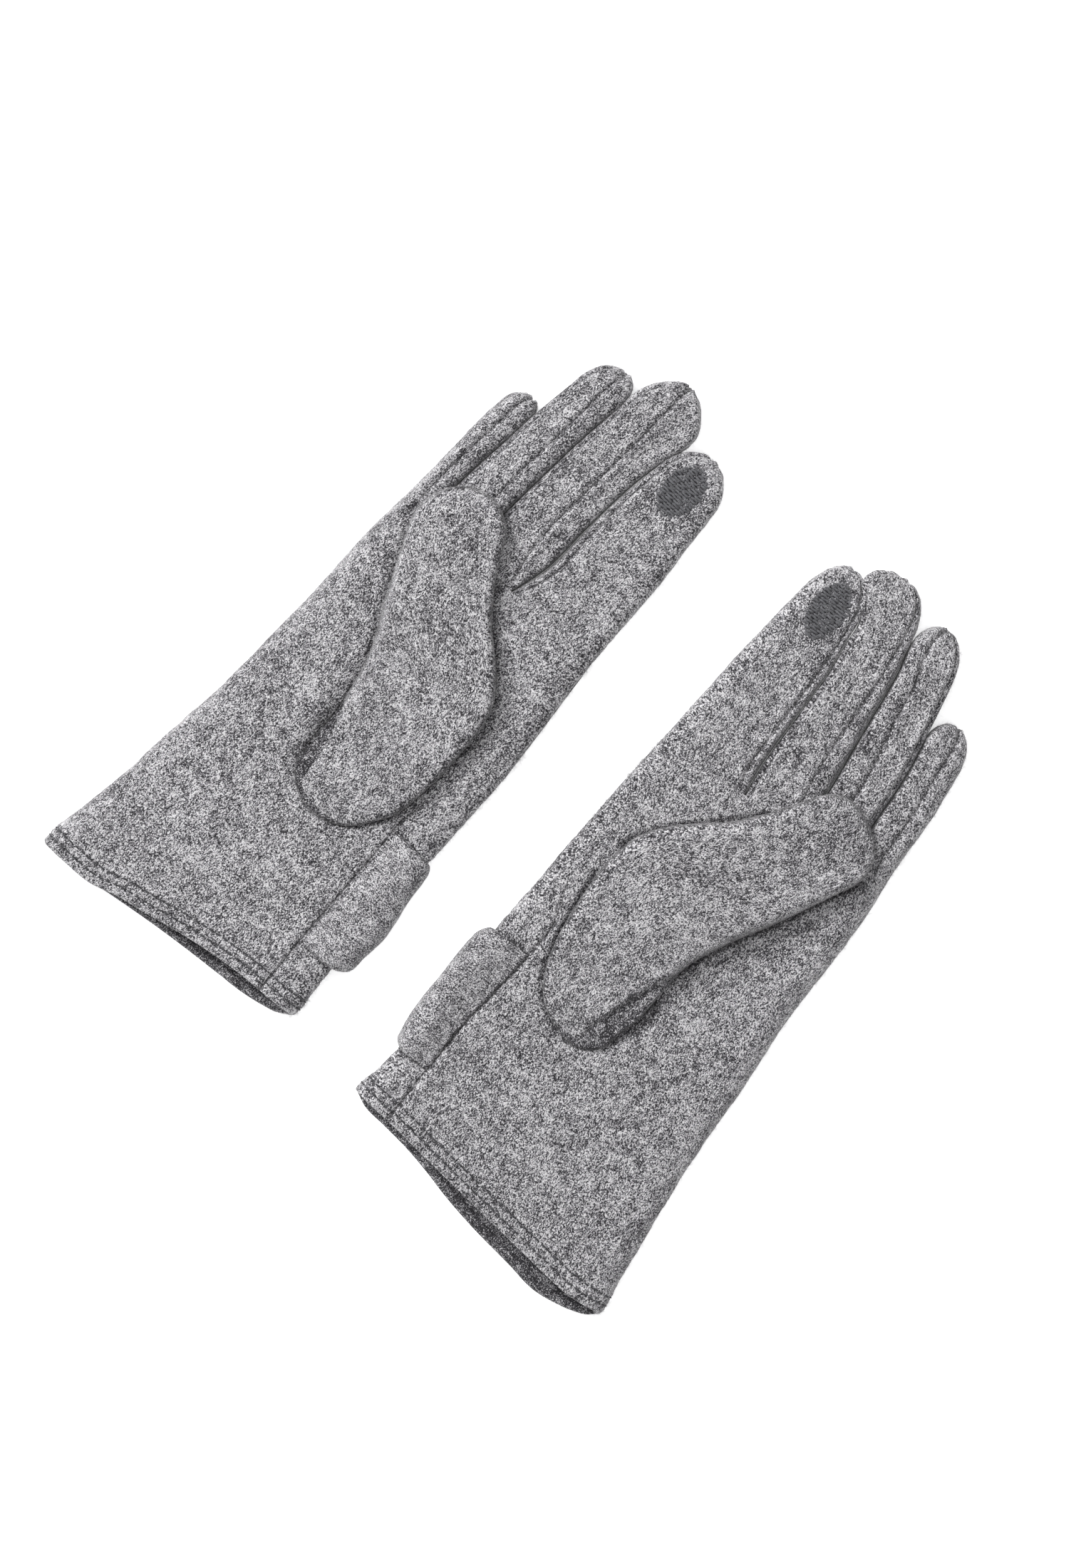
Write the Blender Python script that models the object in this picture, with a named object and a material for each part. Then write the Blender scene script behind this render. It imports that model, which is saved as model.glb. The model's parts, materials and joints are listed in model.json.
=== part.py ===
"""A pair of wool touchscreen gloves, lying palm up with their thumbs folded across the palms.

Every size is in millimetres and add_piece turns it into metres. A glove is drawn in its own frame:
x runs from the little finger's edge to the index finger's edge, y from the cuff to the fingertips,
and z up from the surface that the back of the hand lies on. The left glove is drawn the same way
and mirrored in x when its pieces are made.
"""

import math
from dataclasses import dataclass

import bmesh
import bpy
import numpy as np
from mathutils import Matrix

MM = 0.001

CLOTH = 2.0  # one layer of cloth
SEAM_GAP = 0.3  # clearance between pieces that are sewn edge to edge
SIDE_SEAM_GAP = 0.8  # the same at the side seam, which runs slantwise past the thumb
FINGER_GAP = 1.2  # room between neighbouring fingers
HAND_HEIGHT = 12.0  # both layers and the space for the hand between them
FINGERTIP_HEIGHT = 9.5
THUMB_HEIGHT = 11.0
THUMB_TIP_HEIGHT = 9.0
STRAP_THICKNESS = 2.6  # two layers pressed together
STRAP_RAMP = 12.0  # length over which the back settles from the strap to the table
SIDE_SEAM_REACH = 5.0  # how far a fourchette reaches over a finger's palm side and back
CROTCH_DEPTH = 0.45  # share of the half height that the cloth dips between two fingers
CROTCH_RUN = 6.0  # length over which that dip forms
CREASE_HALF_WIDTH = 3.0
THUMB_CLEARANCE = 5.0  # from the folded thumb's tip to the line where the fingers bend
THUMB_HOLE_INSET = 7.0  # from the thumb root's edge to the hole under it
PATCH_THICKNESS = 0.8
THUMB_ROOT_SHIFT = 2.0  # the sewn-in root's middle lies this far to the index finger's side of the fold's
THUMB_ROOT_BLUNT = 0.35  # share of the root's length over which its end closes
THUMB_TIP_BLUNT = 0.8  # share of the half width over which the thumb's tip closes
BLUNTNESS = 0.9  # how far a finger's tip narrows: at 1 it ends in a point
THUMB_BLUNTNESS = 0.8
WRIST_Y = -60.0
PALM_Y = 0.0
SEAM_EDGE_SHARE = 0.97  # share of the half width where the side seam runs beside the palm
TIP_SEAM_SHARE = 0.93  # the same for a fourchette's seam at the fingertip

HAND_SQUARENESS = 4.0  # exponent of the cross-section: 2 is an ellipse, higher is boxier
FINGER_SQUARENESS = 2.8
EDGE_COLUMNS = (1.0, 0.995, 0.96, 0.88)  # places across a half section, dense at its round edge
FLATNESS = 1.06  # a section is drawn this much too high and cut off flat

FINGERS = ("little", "ring", "middle", "index")


@dataclass
class Glove:
    side: str
    mirror: int  # 1 has the index finger towards +X, -1 towards -X
    centre: tuple
    lean: float  # degrees that the fingertips lean towards the other glove
    cuff_x: tuple  # little finger's edge and index finger's edge at the hem
    wrist_x: tuple
    palm_x: tuple
    knuckle_x: tuple
    tip_x: tuple
    hem_y: float
    hem_slope: float
    back_hem_drop: float  # how far the back layer shows past the palm layer
    crotch_y: float
    creases: tuple  # x of each gap between two fingers, at the knuckles and at the tips
    tips_y: tuple
    seam_x: tuple  # side seam on the palm, at the strap's upper edge and at the hem
    strap_y: tuple
    strap_end_x: float
    thumb_hinge: tuple
    thumb_lean: float
    thumb_half_widths: tuple  # at the fold and at the tip
    thumb_length: float
    thumb_root_y: float
    thumb_root_half_width: float
    patch_centre: tuple
    patch_half_size: tuple

    @property
    def knuckle_y(self):
        """The line that every finger bends about, just clear of the folded thumb's tip."""
        reach = self.thumb_length * math.cos(math.radians(self.thumb_lean))
        return self.thumb_hinge[1] + reach + THUMB_CLEARANCE


RIGHT = Glove(
    side="right",
    mirror=1,
    centre=(-59.8, 2.3),
    lean=3.8,
    cuff_x=(-49.5, 47.5),
    wrist_x=(-44.5, 46.5),
    palm_x=(-42.0, 44.5),
    knuckle_x=(-42.0, 37.6),
    tip_x=(-41.0, 33.0),
    hem_y=-107.0,
    hem_slope=0.15,
    back_hem_drop=2.5,
    crotch_y=48.0,
    creases=((-32.0, -30.0), (-15.0, -11.5), (7.2, 9.8)),
    tips_y=(97.5, 124.5, 135.5, 123.5),
    seam_x=(30.5, 34.0),
    strap_y=(-81.0, -33.5),
    strap_end_x=-22.0,
    thumb_hinge=(8.0, 0.0),
    thumb_lean=29.0,
    thumb_half_widths=(22.0, 16.5),
    thumb_length=71.0,
    thumb_root_y=-47.5,
    thumb_root_half_width=14.0,
    patch_centre=(21.5, 109.5),
    patch_half_size=(6.5, 9.5),
)

LEFT = Glove(
    side="left",
    mirror=-1,
    centre=(59.8, -2.3),
    lean=3.8,
    cuff_x=(-52.0, 53.5),
    wrist_x=(-47.5, 50.0),
    palm_x=(-45.0, 46.0),
    knuckle_x=(-44.5, 39.5),
    tip_x=(-42.5, 34.0),
    hem_y=-107.5,
    hem_slope=0.12,
    back_hem_drop=5.0,
    crotch_y=51.0,
    creases=((-30.0, -27.0), (-12.0, -6.0), (10.2, 12.2)),
    tips_y=(108.5, 132.5, 138.0, 130.5),
    seam_x=(35.5, 40.0),
    strap_y=(-82.0, -31.5),
    strap_end_x=-22.0,
    thumb_hinge=(11.0, 3.0),
    thumb_lean=32.0,
    thumb_half_widths=(21.5, 16.5),
    thumb_length=73.0,
    thumb_root_y=-46.5,
    thumb_root_half_width=15.0,
    patch_centre=(22.5, 115.0),
    patch_half_size=(6.0, 10.0),
)


def ease(value, start, end):
    """Rises smoothly from 0 at start to 1 at end."""
    t = np.clip((value - start) / (end - start), 0.0, 1.0)
    return t * t * (3.0 - 2.0 * t)


def arch(q, squareness):
    """Height of the upper half of a section at the share q of its half width, flat in the middle."""
    rise = np.clip(1.0 - np.abs(q) ** squareness, 0.0, 1.0) ** (1.0 / squareness)
    return np.minimum(FLATNESS * rise, 1.0)


# ---- the hand -----------------------------------------------------------------------------------


def hand_edges(glove, y):
    """x of the little finger's edge and of the index finger's edge, on a cubic through four places."""
    stations = (glove.hem_y, WRIST_Y, PALM_Y, glove.knuckle_y)
    corners = (glove.cuff_x, glove.wrist_x, glove.palm_x, glove.knuckle_x)
    return [np.polyval(np.polyfit(stations, [c[i] for c in corners], 3), y) for i in (0, 1)]


def hand_section(glove, y):
    """Middle x, half width, middle z and half height of the hand at y."""
    low_x, high_x = hand_edges(glove, y)
    strap_low, strap_high = glove.strap_y
    over_strap = ease(y, strap_low - STRAP_RAMP, strap_low - 1.0)
    over_strap = over_strap * (1.0 - ease(y, strap_high + 1.0, strap_high + STRAP_RAMP))
    bottom = (STRAP_THICKNESS + SEAM_GAP) * over_strap
    middle_z = (HAND_HEIGHT + bottom) / 2
    return (low_x + high_x) / 2, (high_x - low_x) / 2, middle_z, HAND_HEIGHT - middle_z


def hand_surface(glove, y, q, upper, offset):
    """Points of the hand's surface, moved out by offset. y has a row each, q and upper a column each.

    A point is q half widths from the section's middle, on its upper half where upper is 1 and on its
    lower half where it is -1. Past the crotches the surface dips along each gap between two fingers.
    """
    mid_x, half_w, mid_z, half_h = hand_section(glove, y)
    x = mid_x + (half_w + offset) * q
    rise = (half_h + offset) * arch(q, HAND_SQUARENESS)
    for at_knuckle, _ in glove.creases:
        near = 1.0 - ease(np.abs(x - at_knuckle), 0.0, CREASE_HALF_WIDTH)
        rise = rise - CROTCH_DEPTH * half_h * near * ease(y, glove.crotch_y, glove.crotch_y + CROTCH_RUN)
    slope = glove.hem_slope * (1.0 - ease(y, glove.hem_y, glove.strap_y[1]))
    return np.stack([x, y + slope * (x - mid_x), mid_z + upper * rise], axis=-1)


def hand_rows(glove, first=()):
    """Places along the hand where its section is drawn, the same on every piece that meets another."""
    low, high = glove.strap_y
    steps = [*first, glove.hem_y, low - STRAP_RAMP, low - 1.0, (low + high) / 2, high + 1.0]
    steps += [high + STRAP_RAMP, PALM_Y, glove.crotch_y / 2, glove.crotch_y]
    steps += [glove.crotch_y + CROTCH_RUN, glove.knuckle_y]
    return np.array(steps)[:, None]


def knuckle_columns(glove):
    """Shares of the half width where the columns stand at the knuckles: one along each crease."""
    mid_x, half_w, _, _ = hand_section(glove, glove.knuckle_y)
    places = [
        (crease + step - mid_x) / half_w
        for crease, _ in glove.creases
        for step in (-CREASE_HALF_WIDTH, 0.0, CREASE_HALF_WIDTH)
    ]
    edge = list(EDGE_COLUMNS)
    return np.array([-e for e in edge] + places + edge[::-1])


def side_seam(glove, y):
    """Share of the half width where the side seam crosses the palm. Past the strap it runs to the edge."""
    mid_x, half_w, _, _ = hand_section(glove, y)
    seam_x = np.interp(y, (glove.hem_y, glove.strap_y[1]), glove.seam_x[::-1])
    to_edge = ease(y, glove.strap_y[1], PALM_Y)
    return (1.0 - to_edge) * (seam_x - mid_x) / half_w + to_edge * SEAM_EDGE_SHARE


def palm_panel(glove):
    rows = hand_rows(glove)
    wide = knuckle_columns(glove)[None, :]
    seam = side_seam(glove, rows) - SIDE_SEAM_GAP / hand_section(glove, rows)[1]
    share = np.linspace(0.0, 1.0, wide.size)[None, :]
    narrow = -1.0 + (seam + 1.0) * share
    upper_part = ease(rows, glove.strap_y[1], PALM_Y)
    q = (1.0 - upper_part) * narrow + upper_part * np.minimum(wide, seam)
    q[:, -1:] = seam
    q[:, -2] = np.minimum(q[:, -2], (q[:, -3] + q[:, -1]) / 2)
    outer = hand_surface(glove, rows, q, 1.0, 0.0)
    inner = hand_surface(glove, rows, q, 1.0, -CLOTH)
    for sheet in (outer, inner):
        sheet[:, 0, 2] += SEAM_GAP / 2
    return cloth_between(outer, inner)


def back_panel(glove):
    rows = hand_rows(glove, [glove.hem_y - glove.back_hem_drop])
    wrapped = side_seam(glove, rows) + (1.0 - side_seam(glove, rows)) * np.array([0.0, 0.5, 0.85])
    across = np.repeat(knuckle_columns(glove)[::-1][None, :], len(rows), axis=0)
    q = np.concatenate([wrapped, across], axis=1)
    upper = np.concatenate([np.ones(wrapped.shape[1]), -np.ones(across.shape[1])])[None, :]
    outer = hand_surface(glove, rows, q, upper, 0.0)
    inner = hand_surface(glove, rows, q, upper, -CLOTH)
    for sheet in (outer, inner):
        sheet[:, -1, 2] -= SEAM_GAP / 2
    return cloth_between(outer, inner)


def wrist_strap(glove):
    """Starts in the side seam on the palm, wraps the index finger's edge and crosses the back."""
    low, high = glove.strap_y
    rows = np.array([low, (low + high) / 2, high])[:, None]
    mid_x, half_w, _, _ = hand_section(glove, rows)
    start = side_seam(glove, rows)
    end = (glove.strap_end_x - mid_x) / half_w
    over = start + (1.0 - start) * np.array([0.0, 0.5, 0.85, 0.97, 1.0])
    under = end + (1.0 - end) * np.array([0.995, 0.96, 0.88, 0.6, 0.3, 0.0])
    q = np.concatenate([over, under], axis=1)
    upper = np.concatenate([np.ones(over.shape[1]), -np.ones(under.shape[1])])[None, :]
    inner = hand_surface(glove, rows, q, upper, SEAM_GAP)
    outer = hand_surface(glove, rows, q, upper, SEAM_GAP + STRAP_THICKNESS)
    return cloth_between(outer, inner)


# ---- fingers ------------------------------------------------------------------------------------


def finger_edges(glove, finger, y):
    """x of both edges of a finger, straight from the knuckle line to the fingertips."""
    lines = [(glove.knuckle_x[0], glove.tip_x[0])] + list(glove.creases)
    lines += [(glove.knuckle_x[1], glove.tip_x[1])]
    room = (0.0,) + (FINGER_GAP / 2,) * 3 + (0.0,)
    number = FINGERS.index(finger)
    share = (y - glove.knuckle_y) / (max(glove.tips_y) - glove.knuckle_y)
    low, high = ((1.0 - share) * line[0] + share * line[1] for line in lines[number : number + 2])
    return low + room[number], high - room[number + 1]


def tube_point(mid_x, half_w, mid_z, half_h, y, q, upper, squareness):
    rise = np.maximum(half_h * arch(q, squareness), SEAM_GAP / 2)
    return np.stack(np.broadcast_arrays(mid_x + half_w * q, y, mid_z + upper * rise), axis=-1)


def finger_surface(glove, finger, length_share, q, upper, offset):
    """Points of a finger, moved out by offset; length_share is 0 at the knuckle line and 1 at the tip.

    Over its last half width the section shrinks as a quarter circle does, to a blunt end.
    """
    tip_y = glove.tips_y[FINGERS.index(finger)]
    low, high = finger_edges(glove, finger, tip_y)
    base_y = glove.knuckle_y + SEAM_GAP
    round_y = tip_y - (high - low) / 2
    end_y = tip_y + offset
    y = np.where(
        length_share < 0.5,
        base_y + (round_y - base_y) * length_share * 2.0,
        round_y + (end_y - round_y) * (length_share * 2.0 - 1.0),
    )
    turn = np.clip(length_share * 2.0 - 1.0, 0.0, 1.0)
    low_x, high_x = finger_edges(glove, finger, y)
    half_w = (high_x - low_x) / 2 + offset
    half_h = HAND_HEIGHT / 2 + (FINGERTIP_HEIGHT - HAND_HEIGHT) / 2 * (y - base_y) / (tip_y - base_y)
    blunt = np.sqrt(1.0 - BLUNTNESS * turn**2)
    closing = np.sqrt(1.0 - turn**2)
    mid_x = (low_x + high_x) / 2
    squareness = HAND_SQUARENESS + (FINGER_SQUARENESS - HAND_SQUARENESS) * ease(length_share, 0.0, 0.3)
    height = (half_h + offset) * closing
    return tube_point(mid_x, half_w * blunt, half_h, height, y, q, upper, squareness)


FINGER_STEPS = np.array([0.0, 0.12, 0.3, 0.5, 0.65, 0.8, 0.9, 0.96, 1.0])[:, None]


def fourchette_sides(finger):
    """The sides that face another finger: -1 towards the little finger, 1 towards the index finger."""
    return [side for side in (-1, 1) if (finger, side) not in (("little", -1), ("index", 1))]


def seam_share(glove, finger, steps):
    """Share of the half width where the fourchette's seam runs, drawing out to the edge at the tip."""
    low, high = finger_edges(glove, finger, glove.knuckle_y)
    at_base = 1.0 - SIDE_SEAM_REACH / ((high - low) / 2)
    return at_base + (TIP_SEAM_SHARE - at_base) * ease(steps, 0.5, 1.0)


def finger_panel(glove, finger, upper):
    seam = seam_share(glove, finger, FINGER_STEPS)
    low, high = finger_edges(glove, finger, glove.knuckle_y)
    clear = SEAM_GAP / ((high - low) / 2)
    sides = fourchette_sides(finger)
    first = -(seam - clear) if -1 in sides else -np.ones_like(seam)
    last = seam - clear if 1 in sides else np.ones_like(seam)
    share = (1.0 - np.cos(np.linspace(0.0, math.pi, 8)[None, :])) / 2
    q = first + (last - first) * share
    sheets = [finger_surface(glove, finger, FINGER_STEPS, q, upper, o) for o in (0.0, -CLOTH)]
    for sheet in sheets:
        keep_clear_of_middle(sheet, glove, finger, upper)
    return cloth_between(*(sheets if upper > 0 else sheets[::-1]))


def keep_clear_of_middle(sheet, glove, finger, upper):
    """Holds a panel's edge half a seam gap off the plane that the palm side and the back meet in."""
    tip_y = glove.tips_y[FINGERS.index(finger)]
    share = (sheet[..., 1] - glove.knuckle_y - SEAM_GAP) / (tip_y - glove.knuckle_y - SEAM_GAP)
    middle = HAND_HEIGHT / 2 + (FINGERTIP_HEIGHT - HAND_HEIGHT) / 2 * share
    limit = middle + upper * SEAM_GAP / 2
    sheet[..., 2] = np.maximum(sheet[..., 2], limit) if upper > 0 else np.minimum(sheet[..., 2], limit)


def fourchette(glove, finger, side):
    """The strip down a finger's side, from the seam on the palm side round to the seam on the back."""
    steps = FINGER_STEPS[:-1]
    seam = seam_share(glove, finger, steps)
    reach = np.array([0.0, 0.55, 0.88, 1.0])
    over = seam + (1.0 - seam) * reach
    q = side * np.concatenate([over, over[:, -2::-1]], axis=1)
    upper = np.array([1.0, 1.0, 1.0, 0.0, -1.0, -1.0, -1.0])[None, :]
    outer = finger_surface(glove, finger, steps, q, upper, 0.0)
    inner = finger_surface(glove, finger, steps, q, upper, -CLOTH)
    return cloth_between(*((outer, inner) if side > 0 else (inner, outer)))


def touch_patch(glove):
    """An oval of conductive yarn on the index fingertip's palm side, following its crown."""
    turns = np.linspace(0.0, 2.0 * math.pi, 20, endpoint=False)
    rings = np.array([0.5, 1.0])[:, None]
    x = glove.patch_centre[0] + glove.patch_half_size[0] * rings * np.cos(turns)
    y = glove.patch_centre[1] + glove.patch_half_size[1] * rings * np.sin(turns)
    x = np.append(x.ravel(), glove.patch_centre[0])
    y = np.append(y.ravel(), glove.patch_centre[1])
    tip_y = glove.tips_y[-1]
    base_y = glove.knuckle_y + SEAM_GAP
    low, high = finger_edges(glove, "index", tip_y)
    round_y = tip_y - (high - low) / 2
    before = 0.5 * (y - base_y) / (round_y - base_y)
    after = 0.5 + 0.5 * (y - round_y) / (tip_y - round_y)
    steps = np.where(y < round_y, before, after)
    low_x, high_x = finger_edges(glove, "index", y)
    turn = np.clip(steps * 2.0 - 1.0, 0.0, 1.0)
    q = (x - (low_x + high_x) / 2) / ((high_x - low_x) / 2 * np.sqrt(1.0 - BLUNTNESS * turn**2))
    lower = finger_surface(glove, "index", steps, q, 1.0, 0.0)
    lower[:, 2] += SEAM_GAP
    raised = lower + np.array([0.0, 0.0, PATCH_THICKNESS])
    count = len(turns)
    top = []
    for i in range(count):
        j = (i + 1) % count
        top.append((2 * count, i, j))
        top.append((i, count + i, count + j, j))
    size = len(lower)
    faces = top + [tuple(size + corner for corner in reversed(face)) for face in top]
    rim = [(count + i, count + (i + 1) % count) for i in range(count)]
    faces += [(j, i, size + i, size + j) for i, j in rim]
    return np.concatenate([raised, lower]), faces


# ---- the thumb ----------------------------------------------------------------------------------


def thumb_frame(glove):
    """Fold line's middle and directions: along the thumb and across it."""
    lean = math.radians(glove.thumb_lean)
    along = np.array([-math.sin(lean), math.cos(lean)])
    across = np.array([math.cos(lean), math.sin(lean)])
    return np.array(glove.thumb_hinge), along, across


THUMB_FLOOR = HAND_HEIGHT + SEAM_GAP
THUMB_STEPS = np.array([0.0, 0.2, 0.5, 0.62, 0.75, 0.87, 0.95, 1.0])[:, None]


def thumb_panel(glove, upper):
    """The palm-side or the table-side half of the thumb, flat below and crowned above."""
    hinge, along, across = thumb_frame(glove)
    q = -np.cos(np.linspace(0.0, math.pi, 10))[None, :]
    sheets = []
    for offset in (0.0, -CLOTH):
        turn = np.clip(THUMB_STEPS * 2.0 - 1.0, 0.0, 1.0)
        round_at = glove.thumb_length - glove.thumb_half_widths[1] * THUMB_TIP_BLUNT
        end = glove.thumb_length + offset
        run = SEAM_GAP + (round_at - SEAM_GAP) * np.minimum(THUMB_STEPS * 2.0, 1.0)
        run = run + (end - round_at) * turn
        root_w, tip_w = glove.thumb_half_widths
        half_w = root_w + (tip_w - root_w) * run / glove.thumb_length
        half_h = (THUMB_HEIGHT + (THUMB_TIP_HEIGHT - THUMB_HEIGHT) * run / glove.thumb_length) / 2
        width = (half_w + offset) * np.sqrt(1.0 - THUMB_BLUNTNESS * turn**2)
        rise = (half_h + offset) * np.sqrt(1.0 - turn**2) * arch(q, FINGER_SQUARENESS)
        rise = np.maximum(rise, SEAM_GAP / 2)
        plan = hinge + run[..., None] * along + (width * q)[..., None] * across
        z = THUMB_FLOOR + half_h + upper * rise
        sheets.append(np.concatenate([plan, z[..., None]], axis=-1))
    return cloth_between(*(sheets if upper > 0 else sheets[::-1]))


def thumb_root(glove):
    """The sewn-in part between the palm and the fold: a hood, open below and towards the thumb."""
    hinge, _, _ = thumb_frame(glove)
    share = np.array([0.0, 0.04, 0.12, 0.24, 0.42, 0.7, 1.0])[:, None]
    q = -np.cos(np.linspace(0.0, math.pi, 10))[None, :]
    sheets = []
    for offset in (0.0, -CLOTH):
        start = np.array([hinge[0] + THUMB_ROOT_SHIFT, glove.thumb_root_y - offset])
        middle = start + (hinge - start) * share
        lean = np.radians(glove.thumb_lean) * share
        across = np.concatenate([np.cos(lean), np.sin(lean)], axis=-1)[:, None, :]
        turn = np.clip(1.0 - share / THUMB_ROOT_BLUNT, 0.0, 1.0)
        half_w = glove.thumb_root_half_width
        half_w = half_w + (glove.thumb_half_widths[0] - half_w) * ease(share, 0.0, 1.0)
        width = (half_w + offset) * np.sqrt(1.0 - THUMB_BLUNTNESS * turn**2)
        rise = (THUMB_HEIGHT + offset) * np.sqrt(1.0 - turn**2) * arch(q, FINGER_SQUARENESS)
        plan = middle[:, None, :] + (width * q)[..., None] * across
        sheets.append(np.concatenate([plan, (THUMB_FLOOR + rise)[..., None]], axis=-1))
    return cloth_between(*sheets)


def thumb_hole_cutter(glove, parent, collection):
    """An upright oval cylinder that opens the palm under the thumb root."""
    root_y = glove.thumb_root_y + THUMB_HOLE_INSET
    half_length = (glove.thumb_hinge[1] - root_y) / 2
    half_width = glove.thumb_root_half_width + THUMB_ROOT_SHIFT - THUMB_HOLE_INSET / 2
    mesh = bpy.data.meshes.new(f"{glove.side}_thumb_hole_cutter")
    shape = bmesh.new()
    bmesh.ops.create_cone(
        shape, cap_ends=True, segments=24, radius1=MM, radius2=MM, depth=HAND_HEIGHT * MM
    )
    scale = Matrix.Diagonal((half_width, half_length, 1.0, 1.0))
    bmesh.ops.transform(shape, matrix=scale, verts=shape.verts)
    middle = Matrix.Translation(
        (
            glove.mirror * (glove.thumb_hinge[0] + THUMB_ROOT_SHIFT) * MM,
            (root_y + half_length) * MM,
            HAND_HEIGHT * MM,
        )
    )
    bmesh.ops.transform(shape, matrix=middle, verts=shape.verts)
    shape.to_mesh(mesh)
    shape.free()
    cutter = bpy.data.objects.new(mesh.name, mesh)
    collection.objects.link(cutter)
    cutter.parent = parent
    cutter.hide_render = True
    cutter.display_type = "WIRE"
    return cutter


# ---- making the objects -------------------------------------------------------------------------


def cloth_between(outer, inner):
    """Points and faces of the closed piece of cloth between two grids with the same rows and columns."""
    rows, columns = outer.shape[:2]
    size = rows * columns
    index = np.arange(size).reshape(rows, columns)
    a, b, c, d = index[:-1, :-1], index[:-1, 1:], index[1:, 1:], index[1:, :-1]
    quads = np.stack([a, b, c, d], axis=-1).reshape(-1, 4)
    border = np.concatenate([index[0, :], index[1:, -1], index[-1, -2::-1], index[-2:0:-1, 0]])
    after = np.roll(border, -1)
    rim = np.stack([after, border, border + size, after + size], axis=-1)
    faces = np.concatenate([quads, quads[:, ::-1] + size, rim])
    return np.concatenate([outer.reshape(-1, 3), inner.reshape(-1, 3)]), faces.tolist()


def cloth_material(name, colour, roughness):
    material = bpy.data.materials.new(name)
    material.use_nodes = True
    shader = material.node_tree.nodes["Principled BSDF"]
    shader.inputs["Base Color"].default_value = (*colour, 1.0)
    shader.inputs["Roughness"].default_value = roughness
    shader.inputs["Metallic"].default_value = 0.0
    shader.inputs["Sheen Weight"].default_value = 0.3
    return material


def add_piece(glove, name, shape, parent, collection, colour, roughness=0.95):
    """Makes a named object under parent from points in the glove's own frame, in millimetres."""
    points, faces = shape
    frame = parent
    while frame.parent:
        frame = frame.parent
    local = np.array(parent.matrix_world.inverted() @ frame.matrix_world)
    points = points * (glove.mirror * MM, MM, MM)
    points = points @ local[:3, :3].T + local[:3, 3]
    if glove.mirror < 0:
        faces = [face[::-1] for face in faces]
    mesh = bpy.data.meshes.new(f"{glove.side}_{name}")
    mesh.from_pydata(points.tolist(), [], faces)
    mesh.validate()
    mesh.shade_smooth()
    mesh.set_sharp_from_angle(angle=math.radians(50.0))
    mesh.materials.append(cloth_material(mesh.name, colour, roughness))
    piece = bpy.data.objects.new(mesh.name, mesh)
    collection.objects.link(piece)
    piece.parent = parent
    return piece


def add_empty(name, parent, location, turn, collection):
    """An empty at location in millimetres in its parent's frame, turned about z."""
    empty = bpy.data.objects.new(name, None)
    empty.empty_display_size = 0.02
    empty.location = [value * MM for value in location]
    empty.rotation_euler = (0.0, 0.0, math.radians(turn))
    collection.objects.link(empty)
    empty.parent = parent
    bpy.context.view_layer.update()
    return empty


CLOTH_COLOUR = (0.34, 0.34, 0.35)
SHADED_COLOUR = (0.29, 0.29, 0.30)
YARN_COLOUR = (0.09, 0.09, 0.10)


def make_glove(glove, parts, cutters):
    side = glove.side
    hand = add_empty(f"{side}_glove", None, (*glove.centre, 0.0), -glove.mirror * glove.lean, parts)

    palm = add_piece(glove, "palm_panel", palm_panel(glove), hand, parts, CLOTH_COLOUR)
    hole = palm.modifiers.new("thumb hole", "BOOLEAN")
    hole.object = thumb_hole_cutter(glove, hand, cutters)
    add_piece(glove, "back_panel", back_panel(glove), hand, parts, CLOTH_COLOUR)
    add_piece(glove, "wrist_strap", wrist_strap(glove), hand, parts, CLOTH_COLOUR)
    add_piece(glove, "thumb_root", thumb_root(glove), hand, parts, SHADED_COLOUR)

    x, y = glove.thumb_hinge
    place = (glove.mirror * x, y, THUMB_FLOOR + THUMB_HEIGHT)
    fold = add_empty(f"{side}_thumb_fold", hand, place, glove.mirror * glove.thumb_lean, parts)
    add_piece(glove, "thumb_front", thumb_panel(glove, 1.0), fold, parts, CLOTH_COLOUR)
    add_piece(glove, "thumb_back", thumb_panel(glove, -1.0), fold, parts, CLOTH_COLOUR)

    for finger in FINGERS:
        low, high = finger_edges(glove, finger, glove.knuckle_y)
        place = (glove.mirror * (low + high) / 2, glove.knuckle_y + SEAM_GAP / 2, HAND_HEIGHT)
        bend = add_empty(f"{side}_{finger}_bend", hand, place, 0.0, parts)
        front = finger_panel(glove, finger, 1.0)
        add_piece(glove, f"{finger}_front", front, bend, parts, CLOTH_COLOUR)
        back = finger_panel(glove, finger, -1.0)
        add_piece(glove, f"{finger}_back", back, bend, parts, CLOTH_COLOUR)
        for towards in fourchette_sides(finger):
            label = "outer" if towards < 0 else "inner"
            strip = fourchette(glove, finger, towards)
            add_piece(glove, f"{finger}_fourchette_{label}", strip, bend, parts, SHADED_COLOUR)
        if finger == "index":
            add_piece(glove, "touch_patch", touch_patch(glove), bend, parts, YARN_COLOUR, 0.8)
    return hand


def centre_on_origin(gloves, parts):
    """Moves both gloves so that the middle of the pair's outline stands over the origin."""
    bpy.context.view_layer.update()
    pieces = [piece for piece in parts.objects if piece.type == "MESH"]
    corners = np.array([piece.matrix_world @ v.co for piece in pieces for v in piece.data.vertices])
    middle = (corners.min(axis=0) + corners.max(axis=0)) / 2
    for glove in gloves:
        glove.location.x -= middle[0]
        glove.location.y -= middle[1]


def new_collection(name):
    collection = bpy.data.collections.new(name)
    bpy.context.scene.collection.children.link(collection)
    return collection


for leftover in list(bpy.data.objects):
    bpy.data.objects.remove(leftover)
parts = new_collection("touchscreen_gloves")
cutters = new_collection("cutters")
pair = [make_glove(glove, parts, cutters) for glove in (RIGHT, LEFT)]
centre_on_origin(pair, parts)
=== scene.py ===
# A pair of grey felted wool touchscreen gloves, palms up, the thumbs folded across the palms.
import json
import math

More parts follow.
